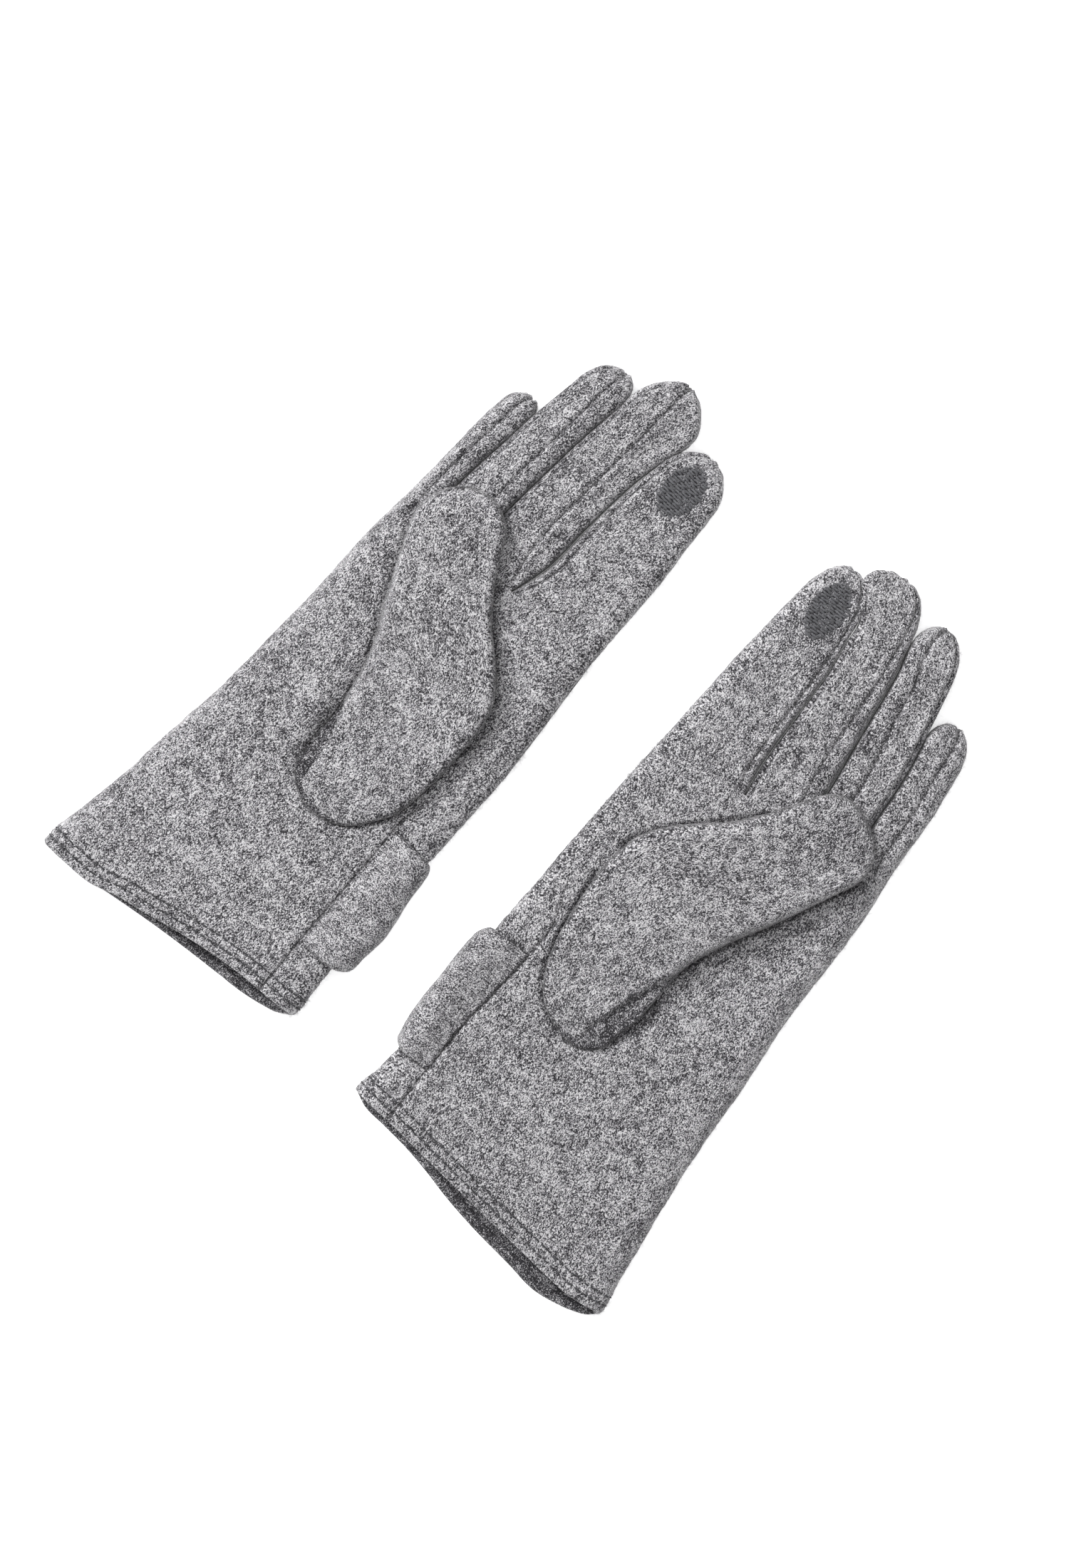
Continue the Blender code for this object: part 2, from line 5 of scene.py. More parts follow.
import bpy
import numpy as np
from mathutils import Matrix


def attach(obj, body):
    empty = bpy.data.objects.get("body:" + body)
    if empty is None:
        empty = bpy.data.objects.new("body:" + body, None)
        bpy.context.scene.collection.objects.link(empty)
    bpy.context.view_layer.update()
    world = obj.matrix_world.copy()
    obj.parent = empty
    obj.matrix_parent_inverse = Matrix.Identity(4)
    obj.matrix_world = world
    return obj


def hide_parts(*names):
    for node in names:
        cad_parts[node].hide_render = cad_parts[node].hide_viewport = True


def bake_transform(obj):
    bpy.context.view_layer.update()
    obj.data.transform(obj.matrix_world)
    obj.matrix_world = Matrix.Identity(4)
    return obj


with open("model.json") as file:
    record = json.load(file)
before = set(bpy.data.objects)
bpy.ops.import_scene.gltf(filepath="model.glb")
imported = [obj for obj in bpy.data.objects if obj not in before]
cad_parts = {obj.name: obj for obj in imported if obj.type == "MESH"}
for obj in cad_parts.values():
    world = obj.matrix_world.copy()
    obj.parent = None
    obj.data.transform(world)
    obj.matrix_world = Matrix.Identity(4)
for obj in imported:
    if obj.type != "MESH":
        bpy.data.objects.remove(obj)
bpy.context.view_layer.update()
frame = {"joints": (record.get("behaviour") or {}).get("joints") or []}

MM = 0.001
scene = bpy.context.scene


# ---- Camera -------------------------------------------------------------------------------------
# A long lens looks straight down on the pair, turned so that both gloves point up to the right.
VIEW_HEIGHT = 0.506  # length of table that the frame's long side takes in
VIEW_CENTRE = (-0.0063, -0.0013)
VIEW_TURN = 40.0
LENS = 120.0
SENSOR = 36.0
EYE_HEIGHT = 0.012  # the height at which the view measures VIEW_HEIGHT

camera = bpy.data.objects.new("camera", bpy.data.cameras.new("camera"))
camera.data.lens = LENS
camera.data.sensor_width = SENSOR
camera.location = (*VIEW_CENTRE, EYE_HEIGHT + VIEW_HEIGHT * LENS / SENSOR)
camera.rotation_euler = (0.0, 0.0, math.radians(VIEW_TURN))
scene.collection.objects.link(camera)
scene.camera = camera


# ---- Table and light ----------------------------------------------------------------------------
# A white studio table, lit a little from below. One broad soft light stands to the little-finger
# side of the right glove, a weaker one hangs overhead, and white walls all round fill the shadows.
TABLE_HALF = 6.0
KEY_FROM = (-0.996, 0.087)  # direction on the table that the main light comes from
KEY_RISE = 42.0
KEY_DISTANCE = 1.7
KEY_SIZE = 0.75
KEY_POWER = 28.0
TOP_POWER = 16.0
WALL_LIGHT = 0.27
TABLE_GLOW = 0.56

mesh = bpy.data.meshes.new("table")
corners = TABLE_HALF * np.array([(-1.0, -1.0), (1.0, -1.0), (1.0, 1.0), (-1.0, 1.0)])
mesh.from_pydata([(x, y, 0.0) for x, y in corners], [], [(0, 1, 2, 3)])
table = bpy.data.objects.new("table", mesh)
scene.collection.objects.link(table)
paper = bpy.data.materials.new("white_table")
paper.use_nodes = True
inputs = paper.node_tree.nodes["Principled BSDF"].inputs
inputs["Base Color"].default_value = (0.93, 0.93, 0.93, 1.0)
inputs["Roughness"].default_value = 0.9
inputs["Emission Color"].default_value = (1.0, 1.0, 1.0, 1.0)
inputs["Emission Strength"].default_value = TABLE_GLOW
mesh.materials.append(paper)


def add_light(name, power, size, place):
    """A square area light at place that faces the origin."""
    lamp = bpy.data.lights.new(name, "AREA")
    lamp.energy = power
    lamp.size = size
    light = bpy.data.objects.new(name, lamp)
    light.location = place
    light.rotation_mode = "QUATERNION"
    light.rotation_quaternion = (-light.location).to_track_quat("-Z", "Y")
    scene.collection.objects.link(light)


rise = math.radians(KEY_RISE)
key_place = [KEY_DISTANCE * math.cos(rise) * axis for axis in KEY_FROM] + [KEY_DISTANCE * math.sin(rise)]
add_light("side_light", KEY_POWER, KEY_SIZE, key_place)
add_light("top_light", TOP_POWER, 1.6, (0.2, 0.1, 2.2))
world = bpy.data.worlds.new("white_walls")
world.use_nodes = True
world.node_tree.nodes["Background"].inputs["Color"].default_value = (1.0, 1.0, 1.0, 1.0)
world.node_tree.nodes["Background"].inputs["Strength"].default_value = WALL_LIGHT
scene.world = world
scene.view_settings.view_transform = "Standard"


# ---- Palm and back ------------------------------------------------------------------------------
# The hand of each glove is two panels of felted wool knit, sewn wrong side out. Their side seam
# comes up the palm from the hem to the thumb, the little finger's edge is a fold, and the hem is
# turned in and stitched down with two rows. Here each panel is one closed piece of cloth.
MIRROR = {"right": 1, "left": -1}
THUMB_HINGE = {"right": (8.0, 0.0), "left": (11.0, 3.0)}  # middle of the fold, in the glove's frame
CLOTH = 1.8  # one layer
SEAM_TURNING = 1.0  # cloth turned in at each side seam
INSIDE_SHADE = 0.75  # painted shade on the cloth's inside face, as a share of a seam's darkness
HAND_HEIGHT = 12.0
LOW_REACH = (10.5, 7.6)  # how far the little finger's edge is rounded in, at the hem and at the crotches
HIGH_REACH = 10.0  # the same on the index finger's edge
STRAP_HEIGHT = 15.0  # top of the strap
STRAP_LIFT = 2.9  # how far the strap lifts the back off the table
STRAP_RAMP = 12.0
HEM_DEPTH = 8.0  # how far the cloth is turned in
HEM_ROWS = (3.3, 6.4)  # the two rows of stitches, from the hem's edge
HEM_SWELL = 0.35  # how far the hem stands off the cloth beside it
HEM_TURNING = 0.9  # how much thicker the turned-in cloth makes it
# Lines sunk in the cloth: how deep and how wide, and how dark and how wide the dark line painted in them
# is. That line is painted shade in the groove, with some of the pressed felt's own darkness.
SIDE_SEAM = (0.8, 0.6, 0.75, 0.42)
THUMB_SEAM = (1.3, 0.9, 1.0, 0.8)
CREASE = (1.3, 0.9, 0.8, 0.7)
HEM_ROW = (0.42, 0.55, 0.6, 0.5)
# the crease at each end of the strap, with painted shadow where the strap's ends lie on the palm
STRAP_CREASE_SHADE = (0.5, 1.0, 0.75, 0.9)
# The swelling beside a seam: how high it is, how far from the seam and how wide.
SIDE_SWELL = (0.25, 2.4, 1.6)
THUMB_SWELL = (0.2, 2.6, 1.6)
GROOVE_WIDTH = 1.1  # of the groove that the folded thumb's edge presses in the palm
GROOVE_SHADE = 0.45  # painted shade in it, for each millimetre of its depth
# painted shade in the pit beside the thumb's root
PIT_SHADE = 0.7
HAND = {
    "right": {
        "low": [(-115.5, -49.3), (-110, -49.5), (-100, -48), (-80, -45.5), (-60, -44.5), (-40, -43.1),
                (0, -42), (33, -43), (48, -42.2), (60, -42), (80, -42), (95, -41), (112, -40)],
        "high": [(-103, 46.2), (-99, 47.5), (-90, 47.2), (-82, 46.6), (-60, 46.2), (-30, 45.6),
                 (0, 44.5), (20, 42.5), (40, 40), (60, 38), (80, 37), (100, 34.8), (112, 33.6), (126, 32)],
        "palm_hem": [(-50, -115.3), (-40, -115), (-29, -114.2), (-20, -111.2), (-10, -109), (0, -106.5),
                     (20, -102.6), (30, -101.5), (40, -101), (48, -100.3)],
        "back_hem": [(-50, -115.3), (-36, -115), (-27, -113.8), (-20, -112.6), (0, -109.6), (20, -107.4),
                     (30, -106.4), (38, -104.8), (44, -103), (48, -100.3)],
        "seam": [(-108, 34.3), (-95, 34), (-80, 32.7), (-60, 31.7), (-40, 30.6), (-29, 30), (-20, 32),
                 (0, 40), (12, 43.2), (48, 39)],
        "seam_top": -27.0,
        "strap": (-80.8, -33.8),
        "crotch": 48.0,
        "crease": [(36, -38.4), (40, -38.2), (48, -38)],  # below the little finger's seam
        "pit": (5.8, 4.6, -29.0, 13.0),  # depth, width, middle and length of the pit beside the thumb
        "thumb_edges": [  # depth of each groove and its line
            (1.5, [(29, 0), (28.6, 8), (25.6, 16.5), (16, 27.5), (5.3, 37.5), (-4, 49.7), (-9, 57)]),
            (1.0, [(-12, -9.7), (-15.8, 3.1), (-20, 11), (-24.3, 19.1), (-31.2, 33.3), (-38, 45)]),
        ],
        "pit_edge": [(-46, -2.5), (-40, -4.5), (-33, -5.0), (-26, -6.4), (-18, -9.4), (-11, -12.4)],
        "thumb_seam": [(28.6, 2), (28.4, -8), (28, -20), (26, -31), (23, -36.7), (20, -41.2),
                       (15, -45.3), (10, -47.2), (6, -47.8), (2, -46.6), (-1, -44.5), (-3, -40),
                       (-3.8, -33), (-5.2, -26), (-8.2, -18), (-11.2, -11)],
    },
    "left": {
        "low": [(-118, -47), (-115, -50), (-112, -52), (-108, -52), (-100, -51), (-80, -49.2),
                (-60, -47.6), (-30, -46.8), (0, -45), (35, -46), (51, -45.3), (60, -44.6), (80, -44.4),
                (95, -43), (112, -41)],
        "high": [(-105, 51), (-101, 54), (-98, 54), (-94, 53), (-84, 51.6), (-60, 50.5), (-30, 48.6),
                 (0, 46), (20, 44.3), (40, 42.5), (60, 40), (80, 38), (100, 35.6), (118, 33), (132, 31)],
        "palm_hem": [(-53, -112), (-48, -112.6), (-40, -113), (-30, -112), (-20, -110.6), (0, -107.8),
                     (20, -105), (40, -102), (50, -101), (54.5, -100.3)],
        "back_hem": [(-53, -112), (-50, -115), (-45, -117), (-40, -118.1), (-30, -119), (-20, -117.2),
                     (0, -113.8), (10, -111.5), (20, -108.6), (30, -106.2), (40, -104.6), (50, -102.8),
                     (54.5, -100.3)],
        "seam": [(-112, 40.4), (-95, 40), (-80, 39.4), (-60, 38.4), (-50, 37), (-33, 35), (-21, 34),
                 (-10, 37), (5, 43), (20, 44), (51, 40.8)],
        "seam_top": -17.0,
        "strap": (-81.6, -31.5),
        "crotch": 51.0,
        "crease": [(47, -38.6), (49, -38.8), (51, -39)],
        "pit": (1.8, 3.0, -26.0, 12.0),
        "thumb_edges": [
            (2.6, [(-7, -12), (-8, -6.6), (-12.8, 5.1), (-19, 16), (-25, 26.1), (-32.2, 40.1),
                   (-38, 50)]),
            (1.3, [(31, 14), (29.6, 18.4), (24, 25.5), (18, 32), (4.6, 44.5), (-5.6, 57.5)]),
        ],
        "pit_edge": [(-46, -2), (-38, -4.5), (-33, -6.2), (-27, -7.6), (-17, -8.6), (-8, -9)],
        "thumb_seam": [(33, 2), (31.8, -10), (31, -20), (29, -28), (27, -35), (24, -39.2), (20, -42.7),
                       (15, -45.3), (10, -46.7), (7, -46.9), (4, -46), (0, -43), (-3, -38), (-5, -33),
                       (-6.2, -27), (-7.2, -17)],
    },
}


def through(knots, at):
    """Value at each place on a smooth line through (place, value) knots: between two knots a cubic
    whose slope at each is the slope of the values around it."""
    place, value = np.array(sorted(knots), float).T
    slope = np.gradient(value, place)
    at = np.clip(at, place[0], place[-1])
    i = np.clip(np.searchsorted(place, at) - 1, 0, len(place) - 2)
    step = place[i + 1] - place[i]
    t = (at - place[i]) / step
    start = (1 + 2 * t) * (1 - t) ** 2 * value[i] + t * (1 - t) ** 2 * step * slope[i]
    return start + t * t * (3 - 2 * t) * value[i + 1] + t * t * (t - 1) * step * slope[i + 1]


def ease(value, start, end):
    """Rises from 0 at start to 1 at end, level at both."""
    t = np.clip((value - start) / (end - start), 0.0, 1.0)
    return t * t * (3.0 - 2.0 * t)


def bell(distance, width):
    """1 at distance 0, falling off as a Gaussian of that width."""
    return np.exp(-((distance / width) ** 2))


LATTICE = 256  # corners each way before the unevenness repeats
LATTICE_START = 80.0


def unevenness(points, size, seed):
    """Smooth noise from -1 to 1 in features of that size: random heights on a square lattice, eased
    between its corners. The height above the table slides the lattice, so both sides differ."""
    lattice = np.random.default_rng(seed).uniform(-1.0, 1.0, (LATTICE, LATTICE))
    x = (points[..., 0] + 1.7 * points[..., 2]) / size + LATTICE_START
    y = (points[..., 1] + 2.3 * points[..., 2]) / size + LATTICE_START
    i, j = np.floor(x).astype(int), np.floor(y).astype(int)
    u, v = ease(x - i, 0.0, 1.0), ease(y - j, 0.0, 1.0)
    next_i, next_j = (i + 1) % LATTICE, (j + 1) % LATTICE
    i, j = i % LATTICE, j % LATTICE
    start = lattice[i, j] * (1 - u) + lattice[next_i, j] * u
    end = lattice[i, next_j] * (1 - u) + lattice[next_i, next_j] * u
    return start * (1 - v) + end * v


MOST_RELIEF = 0.6


def felt_relief(points):
    """How far felted cloth stands off its drawn surface: slow swells, dents and a lumpy nap, summed
    and then squeezed to stay under MOST_RELIEF."""
    swell = 0.45 * unevenness(points, 27.0, 3) + 0.22 * unevenness(points, 10.0, 4)
    total = swell + 0.16 * unevenness(points, 3.6, 5) + 0.2 * unevenness(points, 1.5, 6)
    return MOST_RELIEF * np.tanh(total / MOST_RELIEF)


TABLE_SOFTENING = 0.2  # height over which a surface bends to lie flat on the table


def rest_on_table(points):
    """Keeps a surface above the table: height h becomes half of h + root(h^2 + softening^2)."""
    points[..., 2] = (points[..., 2] + np.sqrt(points[..., 2] ** 2 + TABLE_SOFTENING**2)) / 2


def sunk(away, depth, width, dark, dark_width):
    """How far a seam or crease sinks the cloth, and how much it is darkened at a distance from it: painted
    shade, with some of the pressed felt's own darkness.
    """
    return depth * bell(away, width), dark * bell(away, dark_width)


def stripe(away, size, distance, width):
    """A soft stripe of that size and width that runs beside a line, at a distance from it."""
    return size * bell(away - distance, width)


EDGE_POWER = 0.76  # 1 rounds an edge as an ellipse; lower is fuller
EDGE_ARC = 1.2  # length along a rounded edge for each millimetre of its reach


def around(low, high, reach_low, reach_high, place):
    """x and the share of the half height at places round a flattened tube. Place 0 (or 2) is its low
    edge and 1 its high edge; the upper side lies between 0 and 1 and the under side between 1 and 2.
    Each edge is a quarter of a superellipse, reach wide, and the stretch between is straight."""
    place = np.mod(place, 2.0)
    flat = high - low - reach_low - reach_high
    bow_low, bow_high = EDGE_ARC * reach_low, EDGE_ARC * reach_high
    total = bow_low + flat + bow_high
    gone = np.where(place <= 1.0, place, 2.0 - place) * total
    turn_low = np.clip(gone / bow_low, 0.0, 1.0) * math.pi / 2
    turn_high = np.clip((total - gone) / bow_high, 0.0, 1.0) * math.pi / 2
    x = low + reach_low * (1.0 - np.cos(turn_low) ** EDGE_POWER) + np.clip(gone - bow_low, 0.0, flat)
    x = x + reach_high * np.cos(turn_high) ** EDGE_POWER
    share = np.sin(turn_low) ** EDGE_POWER * np.sin(turn_high) ** EDGE_POWER
    return x, np.where(place <= 1.0, share, -share)


def place_at(low, high, reach_low, reach_high, x):
    """The place on the upper side, as around() counts it, that lies at x."""
    flat = high - low - reach_low - reach_high
    bow_low, bow_high = EDGE_ARC * reach_low, EDGE_ARC * reach_high
    near_low = np.clip(1.0 - (x - low) / reach_low, 0.0, 1.0) ** (1.0 / EDGE_POWER)
    near_high = np.clip(1.0 - (high - x) / reach_high, 0.0, 1.0) ** (1.0 / EDGE_POWER)
    gone = bow_low * np.arccos(near_low) * 2 / math.pi + np.clip(x - low - reach_low, 0.0, flat)
    gone = gone + bow_high * (1.0 - np.arccos(near_high) * 2 / math.pi)
    return gone / (bow_low + flat + bow_high)


def between(anchors, counts):
    """Places of the columns in each row: counts of them spread evenly from each anchor to the next."""
    spread = [a + (b - a) * np.arange(n) / n for a, b, n in zip(anchors, anchors[1:], counts)]
    return np.concatenate([*spread, anchors[-1]], axis=1)


def nearest(points, line):
    """Distance in the glove's plane from each point to a smooth line through the given points."""
    line = np.array(line, float)
    gone = np.concatenate([[0.0], np.cumsum(np.linalg.norm(np.diff(line, axis=0), axis=1))])
    at = np.linspace(0.0, gone[-1], 160)
    dense = np.stack([through(list(zip(gone, line[:, n])), at) for n in (0, 1)], axis=-1)
    return np.linalg.norm(points[..., None, :2] - dense, axis=-1).min(axis=-1)


def outward(grid):
    """Unit normals of a tube's grid, whose last column lies on its first."""
    ring = grid[:, :-1]
    across = np.roll(ring, -1, axis=1) - np.roll(ring, 1, axis=1)
    along = np.gradient(ring, axis=0)
    normal = np.cross(across, along)
    normal /= np.maximum(np.linalg.norm(normal, axis=2, keepdims=True), 1e-9)
    return np.concatenate([normal, normal[:, :1]], axis=1)


def reach_from(grid, column):
    """Distance along each row of a tube's grid from one of its columns, the shorter way round."""
    steps = np.linalg.norm(np.diff(grid, axis=1), axis=2)
    gone = np.concatenate([np.zeros((len(grid), 1)), np.cumsum(steps, axis=1)], axis=1)
    away = np.abs(gone - gone[:, column : column + 1])
    return np.minimum(away, gone[:, -1:] - away)


JOINTS = {joint["name"]: joint for joint in frame["joints"]}


def glove_axes(side):
    """The glove's origin and its x and y directions: x is the axis that its fingers bend about, and
    its thumb's fold lies THUMB_HINGE from the origin."""
    x_axis = MIRROR[side] * np.array(JOINTS[f"{side}_index_bend"]["axis"])
    x_axis = x_axis if MIRROR[side] * x_axis[0] > 0 else -x_axis
    y_axis = MIRROR[side] * np.cross((0.0, 0.0, 1.0), x_axis)
    x, y = np.multiply(THUMB_HINGE[side], MM)
    origin = np.array(JOINTS[f"{side}_thumb_fold"]["pos_m"]) - x * x_axis - y * y_axis
    origin[2] = 0.0
    return origin, x_axis, y_axis


def to_world(side, points):
    """The glove's own millimetres turned into the frame's metres."""
    origin, x_axis, y_axis = glove_axes(side)
    x, y, z = np.moveaxis(np.asarray(points) * MM, -1, 0)
    return origin + x[..., None] * x_axis + y[..., None] * y_axis + z[..., None] * (0.0, 0.0, 1.0)


def cloth_places(across, along, height):
    """The cloth's own position at each point, which its knit follows round the edges."""
    return np.stack(np.broadcast_arrays(across + 0.8 * height, along, 0.7 * height), axis=-1)


def add_piece(side, name, points, faces, material, grain=None, pressed=None):
    """Makes the named mesh object from points in the glove's frame, with the cloth's own position
    and its darkening as attributes for its material. The darkening is mostly painted shade in seams,
    creases, crevices and along edges, with some of the felt's own darkness."""
    mesh = bpy.data.meshes.new(f"{side}_{name}")
    if MIRROR[side] < 0:
        faces = [face[::-1] for face in faces]
    mesh.from_pydata(to_world(side, points).tolist(), [], faces)
    if grain is not None:
        lie = mesh.attributes.new("lie", "FLOAT_VECTOR", "POINT")
        lie.data.foreach_set("vector", np.asarray(grain, np.float32).ravel())
        # painted shade, with some of the felt's own darkening, for the wool's material to read
        depth = mesh.attributes.new("pressed", "FLOAT", "POINT")
        depth.data.foreach_set("value", np.asarray(pressed, np.float32).ravel())
    mesh.shade_smooth()
    mesh.materials.append(material)
    piece = bpy.data.objects.new(mesh.name, mesh)
    scene.collection.objects.link(piece)
    return piece


def cut_cloth(side, name, outer, inner, grain, pressed, material, slot, poles=()):
    """A closed piece of cloth: an outer and an inner grid joined all round their rims. poles are the
    numbers of the rows, the first or the last, that are drawn together into one point."""
    rows, columns = outer.shape[:2]
    count = rows * columns
    index = np.arange(count).reshape(rows, columns)
    for row in poles:
        index[row] = index[row, 0]
    a, b, c, d = index[:-1, :-1], index[:-1, 1:], index[1:, 1:], index[1:, :-1]
    quads = np.stack([a, b, c, d], axis=-1).reshape(-1, 4)
    border = np.concatenate([index[0, :], index[1:, -1], index[-1, -2::-1], index[-2:0:-1, 0]])
    border = border[border != np.roll(border, -1)]
    after = np.roll(border, -1)
    rim = np.stack([after, border, border + count, after + count], axis=-1)
    faces = np.concatenate([quads, quads[:, ::-1] + count, rim])
    used = np.unique(faces)
    faces = np.searchsorted(used, faces).tolist()
    if poles:
        faces = [tuple(dict.fromkeys(face)) for face in faces]
    points = np.concatenate([outer.reshape(-1, 3), inner.reshape(-1, 3)])[used]
    grain = np.concatenate([grain.reshape(-1, 3)] * 2)[used]
    # the inner face gets painted shade on top of the outer face's darkening
    pressed = np.concatenate([pressed.ravel(), pressed.ravel() + INSIDE_SHADE])[used]
    piece = add_piece(side, name, points, faces, material, grain, pressed)
    wide = np.linalg.norm(np.diff(outer, axis=1), axis=2).sum(axis=1)
    long = np.linalg.norm(np.diff(outer, axis=0), axis=2).sum(axis=0)
    u, v = np.diff(outer, axis=1)[:-1], np.diff(outer, axis=0)[:, :-1]
    area = np.linalg.norm(np.cross(u, v), axis=2).sum()
    width, length = wide.max() + 2.0 * SEAM_TURNING, long.max()
    area = min(area + 2.0 * SEAM_TURNING * length, width * length)
    return piece


class Wire:
    """A value in a material's node tree. Arithmetic on wires adds Math nodes."""

    def __init__(self, tree, socket):
        self.tree = tree
        self.socket = socket

    def node(self, kind, settings, values, out=0):
        """A new node with its settings made first, then its sockets' values or links."""
        made = self.tree.nodes.new(kind)
        for name, value in settings.items():
            if name == "stops":
                for _ in range(len(value) - 2):
                    made.color_ramp.elements.new(0.5)
                for stop, (position, colour) in zip(made.color_ramp.elements, value):
                    stop.position = position
                    stop.color = (*colour, 1.0)
            else:
                setattr(made, name, value)
        for name, value in values.items():
            if isinstance(value, Wire):
                self.tree.links.new(value.socket, made.inputs[name])
            else:
                made.inputs[name].default_value = value
        return Wire(self.tree, made.outputs[out])

    def math(self, operation, first, second):
        return self.node("ShaderNodeMath", {"operation": operation}, {0: first, 1: second})

    def __add__(self, other):
        return self.math("ADD", self, other)

    def __radd__(self, other):
        return self.math("ADD", other, self)

    def __sub__(self, other):
        return self.math("SUBTRACT", self, other)

    def __rsub__(self, other):
        return self.math("SUBTRACT", other, self)

    def __mul__(self, other):
        return self.math("MULTIPLY", self, other)

    def __rmul__(self, other):
        return self.math("MULTIPLY", other, self)

    def scaled(self, x, y, z):
        """A vector stretched along each axis."""
        return self.node("ShaderNodeVectorMath", {"operation": "MULTIPLY"}, {0: self, 1: (x, y, z)})

    def noise(self, detail=2.0, roughness=0.5):
        """Noise from 0 to 1 at this position."""
        values = {"Vector": self, "Scale": 1.0, "Detail": detail, "Roughness": roughness}
        return self.node("ShaderNodeTexNoise", {}, values)

    def wave(self, length, shift):
        """A sine from -1 to 1 of this value, once every length, slid along by shift."""
        return self.math("SINE", self * (2.0 * math.pi / length) + shift, 0.0)


def new_material(name, roughness, sheen):
    """A Principled material, its shader node, and a wire to start its other nodes from."""
    material = bpy.data.materials.new(name)
    material.use_nodes = True
    tree = material.node_tree
    shader = tree.nodes["Principled BSDF"]
    shader.inputs["Roughness"].default_value = roughness
    shader.inputs["Sheen Weight"].default_value = sheen
    shader.inputs["Sheen Roughness"].default_value = 0.45
    shader.inputs["Specular IOR Level"].default_value = 0.2
    return material, shader, Wire(tree, None)


WALE = 0.86  # width of one column of knit stitches, in millimetres
COURSE = 0.66  # height of one stitch


def melange_wool(name, brightness=1.0):
    """Felted knit of light and dark grey fibres. Its tone is fine noise a little longer down the
    wales, a shade for each loop, faint columns and courses of stitches, soft blotches, and darkening
    read from an attribute: painted shade in seams, creases, crevices and along edges, with the
    felt's own darkness where it is pressed or under the touch patch."""
    material, shader, start = new_material(name, 0.95, 0.35)
    lie = start.node("ShaderNodeAttribute", {"attribute_name": "lie"}, {}, out="Vector")
    pressed = start.node("ShaderNodeAttribute", {"attribute_name": "pressed"}, {}, out="Fac")
    split = {axis: lie.node("ShaderNodeSeparateXYZ", {}, {"Vector": lie}, out=axis) for axis in "XY"}
    fibre = lie.scaled(2.7, 1.9, 2.7).noise(3.0, 0.68)
    hair = lie.scaled(6.0, 2.2, 6.0).noise(2.0, 0.6)
    loop_places = {"Vector": lie.scaled(3.0, 2.2, 3.0), "Scale": 1.0}
    loops = lie.node("ShaderNodeTexVoronoi", {}, loop_places, out="Color")
    wander = lie.scaled(0.35, 0.35, 0.35).noise(2.0) * 9.0
    stitch = split["X"].wave(WALE, wander) * split["Y"].wave(COURSE, wander)
    blotch = lie.scaled(0.34, 0.26, 0.34).noise(3.0, 0.65)
    cloud = lie.scaled(0.1, 0.08, 0.1).noise(2.0, 0.5)
    tone = 3.9 * (fibre - 0.5) + 1.6 * (hair - 0.5) + 1.15 * (loops - 0.5) + 0.07 * stitch
    tone = tone + 1.25 * (blotch - 0.5) + 0.5 * (cloud - 0.5)
    # painted shade, with some of the felt's own darkening, lowers the tone
    tone = tone - 0.42 * pressed + 0.5
    stops = [
        (0.0, (0.022, 0.021, 0.024)),
        (0.3, (0.10, 0.097, 0.105)),
        (0.52, (0.25, 0.243, 0.258)),
        (0.75, (0.45, 0.44, 0.46)),
        (1.0, (0.74, 0.73, 0.745)),
    ]
    stops = [(at, tuple(brightness * part for part in colour)) for at, colour in stops]
    colour = lie.node("ShaderNodeValToRGB", {"stops": stops}, {"Fac": tone}, out="Color")
    height = 0.6 * fibre + 0.3 * hair + 0.06 * stitch
    bump = lie.node("ShaderNodeBump", {}, {"Height": height, "Distance": 0.0006, "Strength": 0.75})
    lie.tree.links.new(colour.socket, shader.inputs["Base Color"])
    lie.tree.links.new(bump.socket, shader.inputs["Normal"])
    return material


GLOVE_WOOL = melange_wool("melange_wool")


def hand_bottom(side, y):
    """Height of the back above the table: the strap under it lifts it."""
    low, high = HAND[side]["strap"]
    lifted = ease(y, low - STRAP_RAMP, low - 1.0) * (1.0 - ease(y, high + 1.0, high + STRAP_RAMP))
    return STRAP_LIFT * lifted


def hand_loops(side, row_share):
    """Points of the hand's surface before its relief, with x, y and each row's hem distance.

    A row is a loop round the flattened tube at a share of the way from the hem to the crotches;
    y runs straight from the hem's curve there, so the rows fan out towards the hem."""
    glove = HAND[side]
    top = glove["crotch"]
    low_y = through(glove["palm_hem"], -99.0) * (1.0 - row_share) + top * row_share
    high_y = through(glove["palm_hem"], 99.0) * (1.0 - row_share) + top * row_share
    low, high = through(glove["low"], low_y), through(glove["high"], high_y)
    seam_y = through(glove["palm_hem"], 32.0) * (1.0 - row_share) + top * row_share
    reach_low = LOW_REACH[0] + (LOW_REACH[1] - LOW_REACH[0]) * ease(row_share, 0.2, 1.0)
    seam = place_at(low, high, reach_low, HIGH_REACH, through(glove["seam"], seam_y))
    place = between([0.0 * seam, seam, 1.0 + 0.0 * seam, 2.0 + 0.0 * seam], HAND_COLUMNS)
    x, share = around(low, high, reach_low, HIGH_REACH, place)
    hem = np.where(share > 0, through(glove["palm_hem"], x), through(glove["back_hem"], x))
    y = hem * (1.0 - row_share) + top * row_share
    bottom = hand_bottom(side, y)
    middle = (HAND_HEIGHT + bottom) / 2
    z = middle + share * (HAND_HEIGHT - middle)
    return np.stack([x, y, z], axis=-1), y - hem


HAND_COLUMNS = (118, 30, 112)
HEM_STEPS = np.concatenate([[0.0, 0.12, 0.4, 0.9], np.arange(1.4, 9.0, 0.4)])
HAND_STEP = 0.8

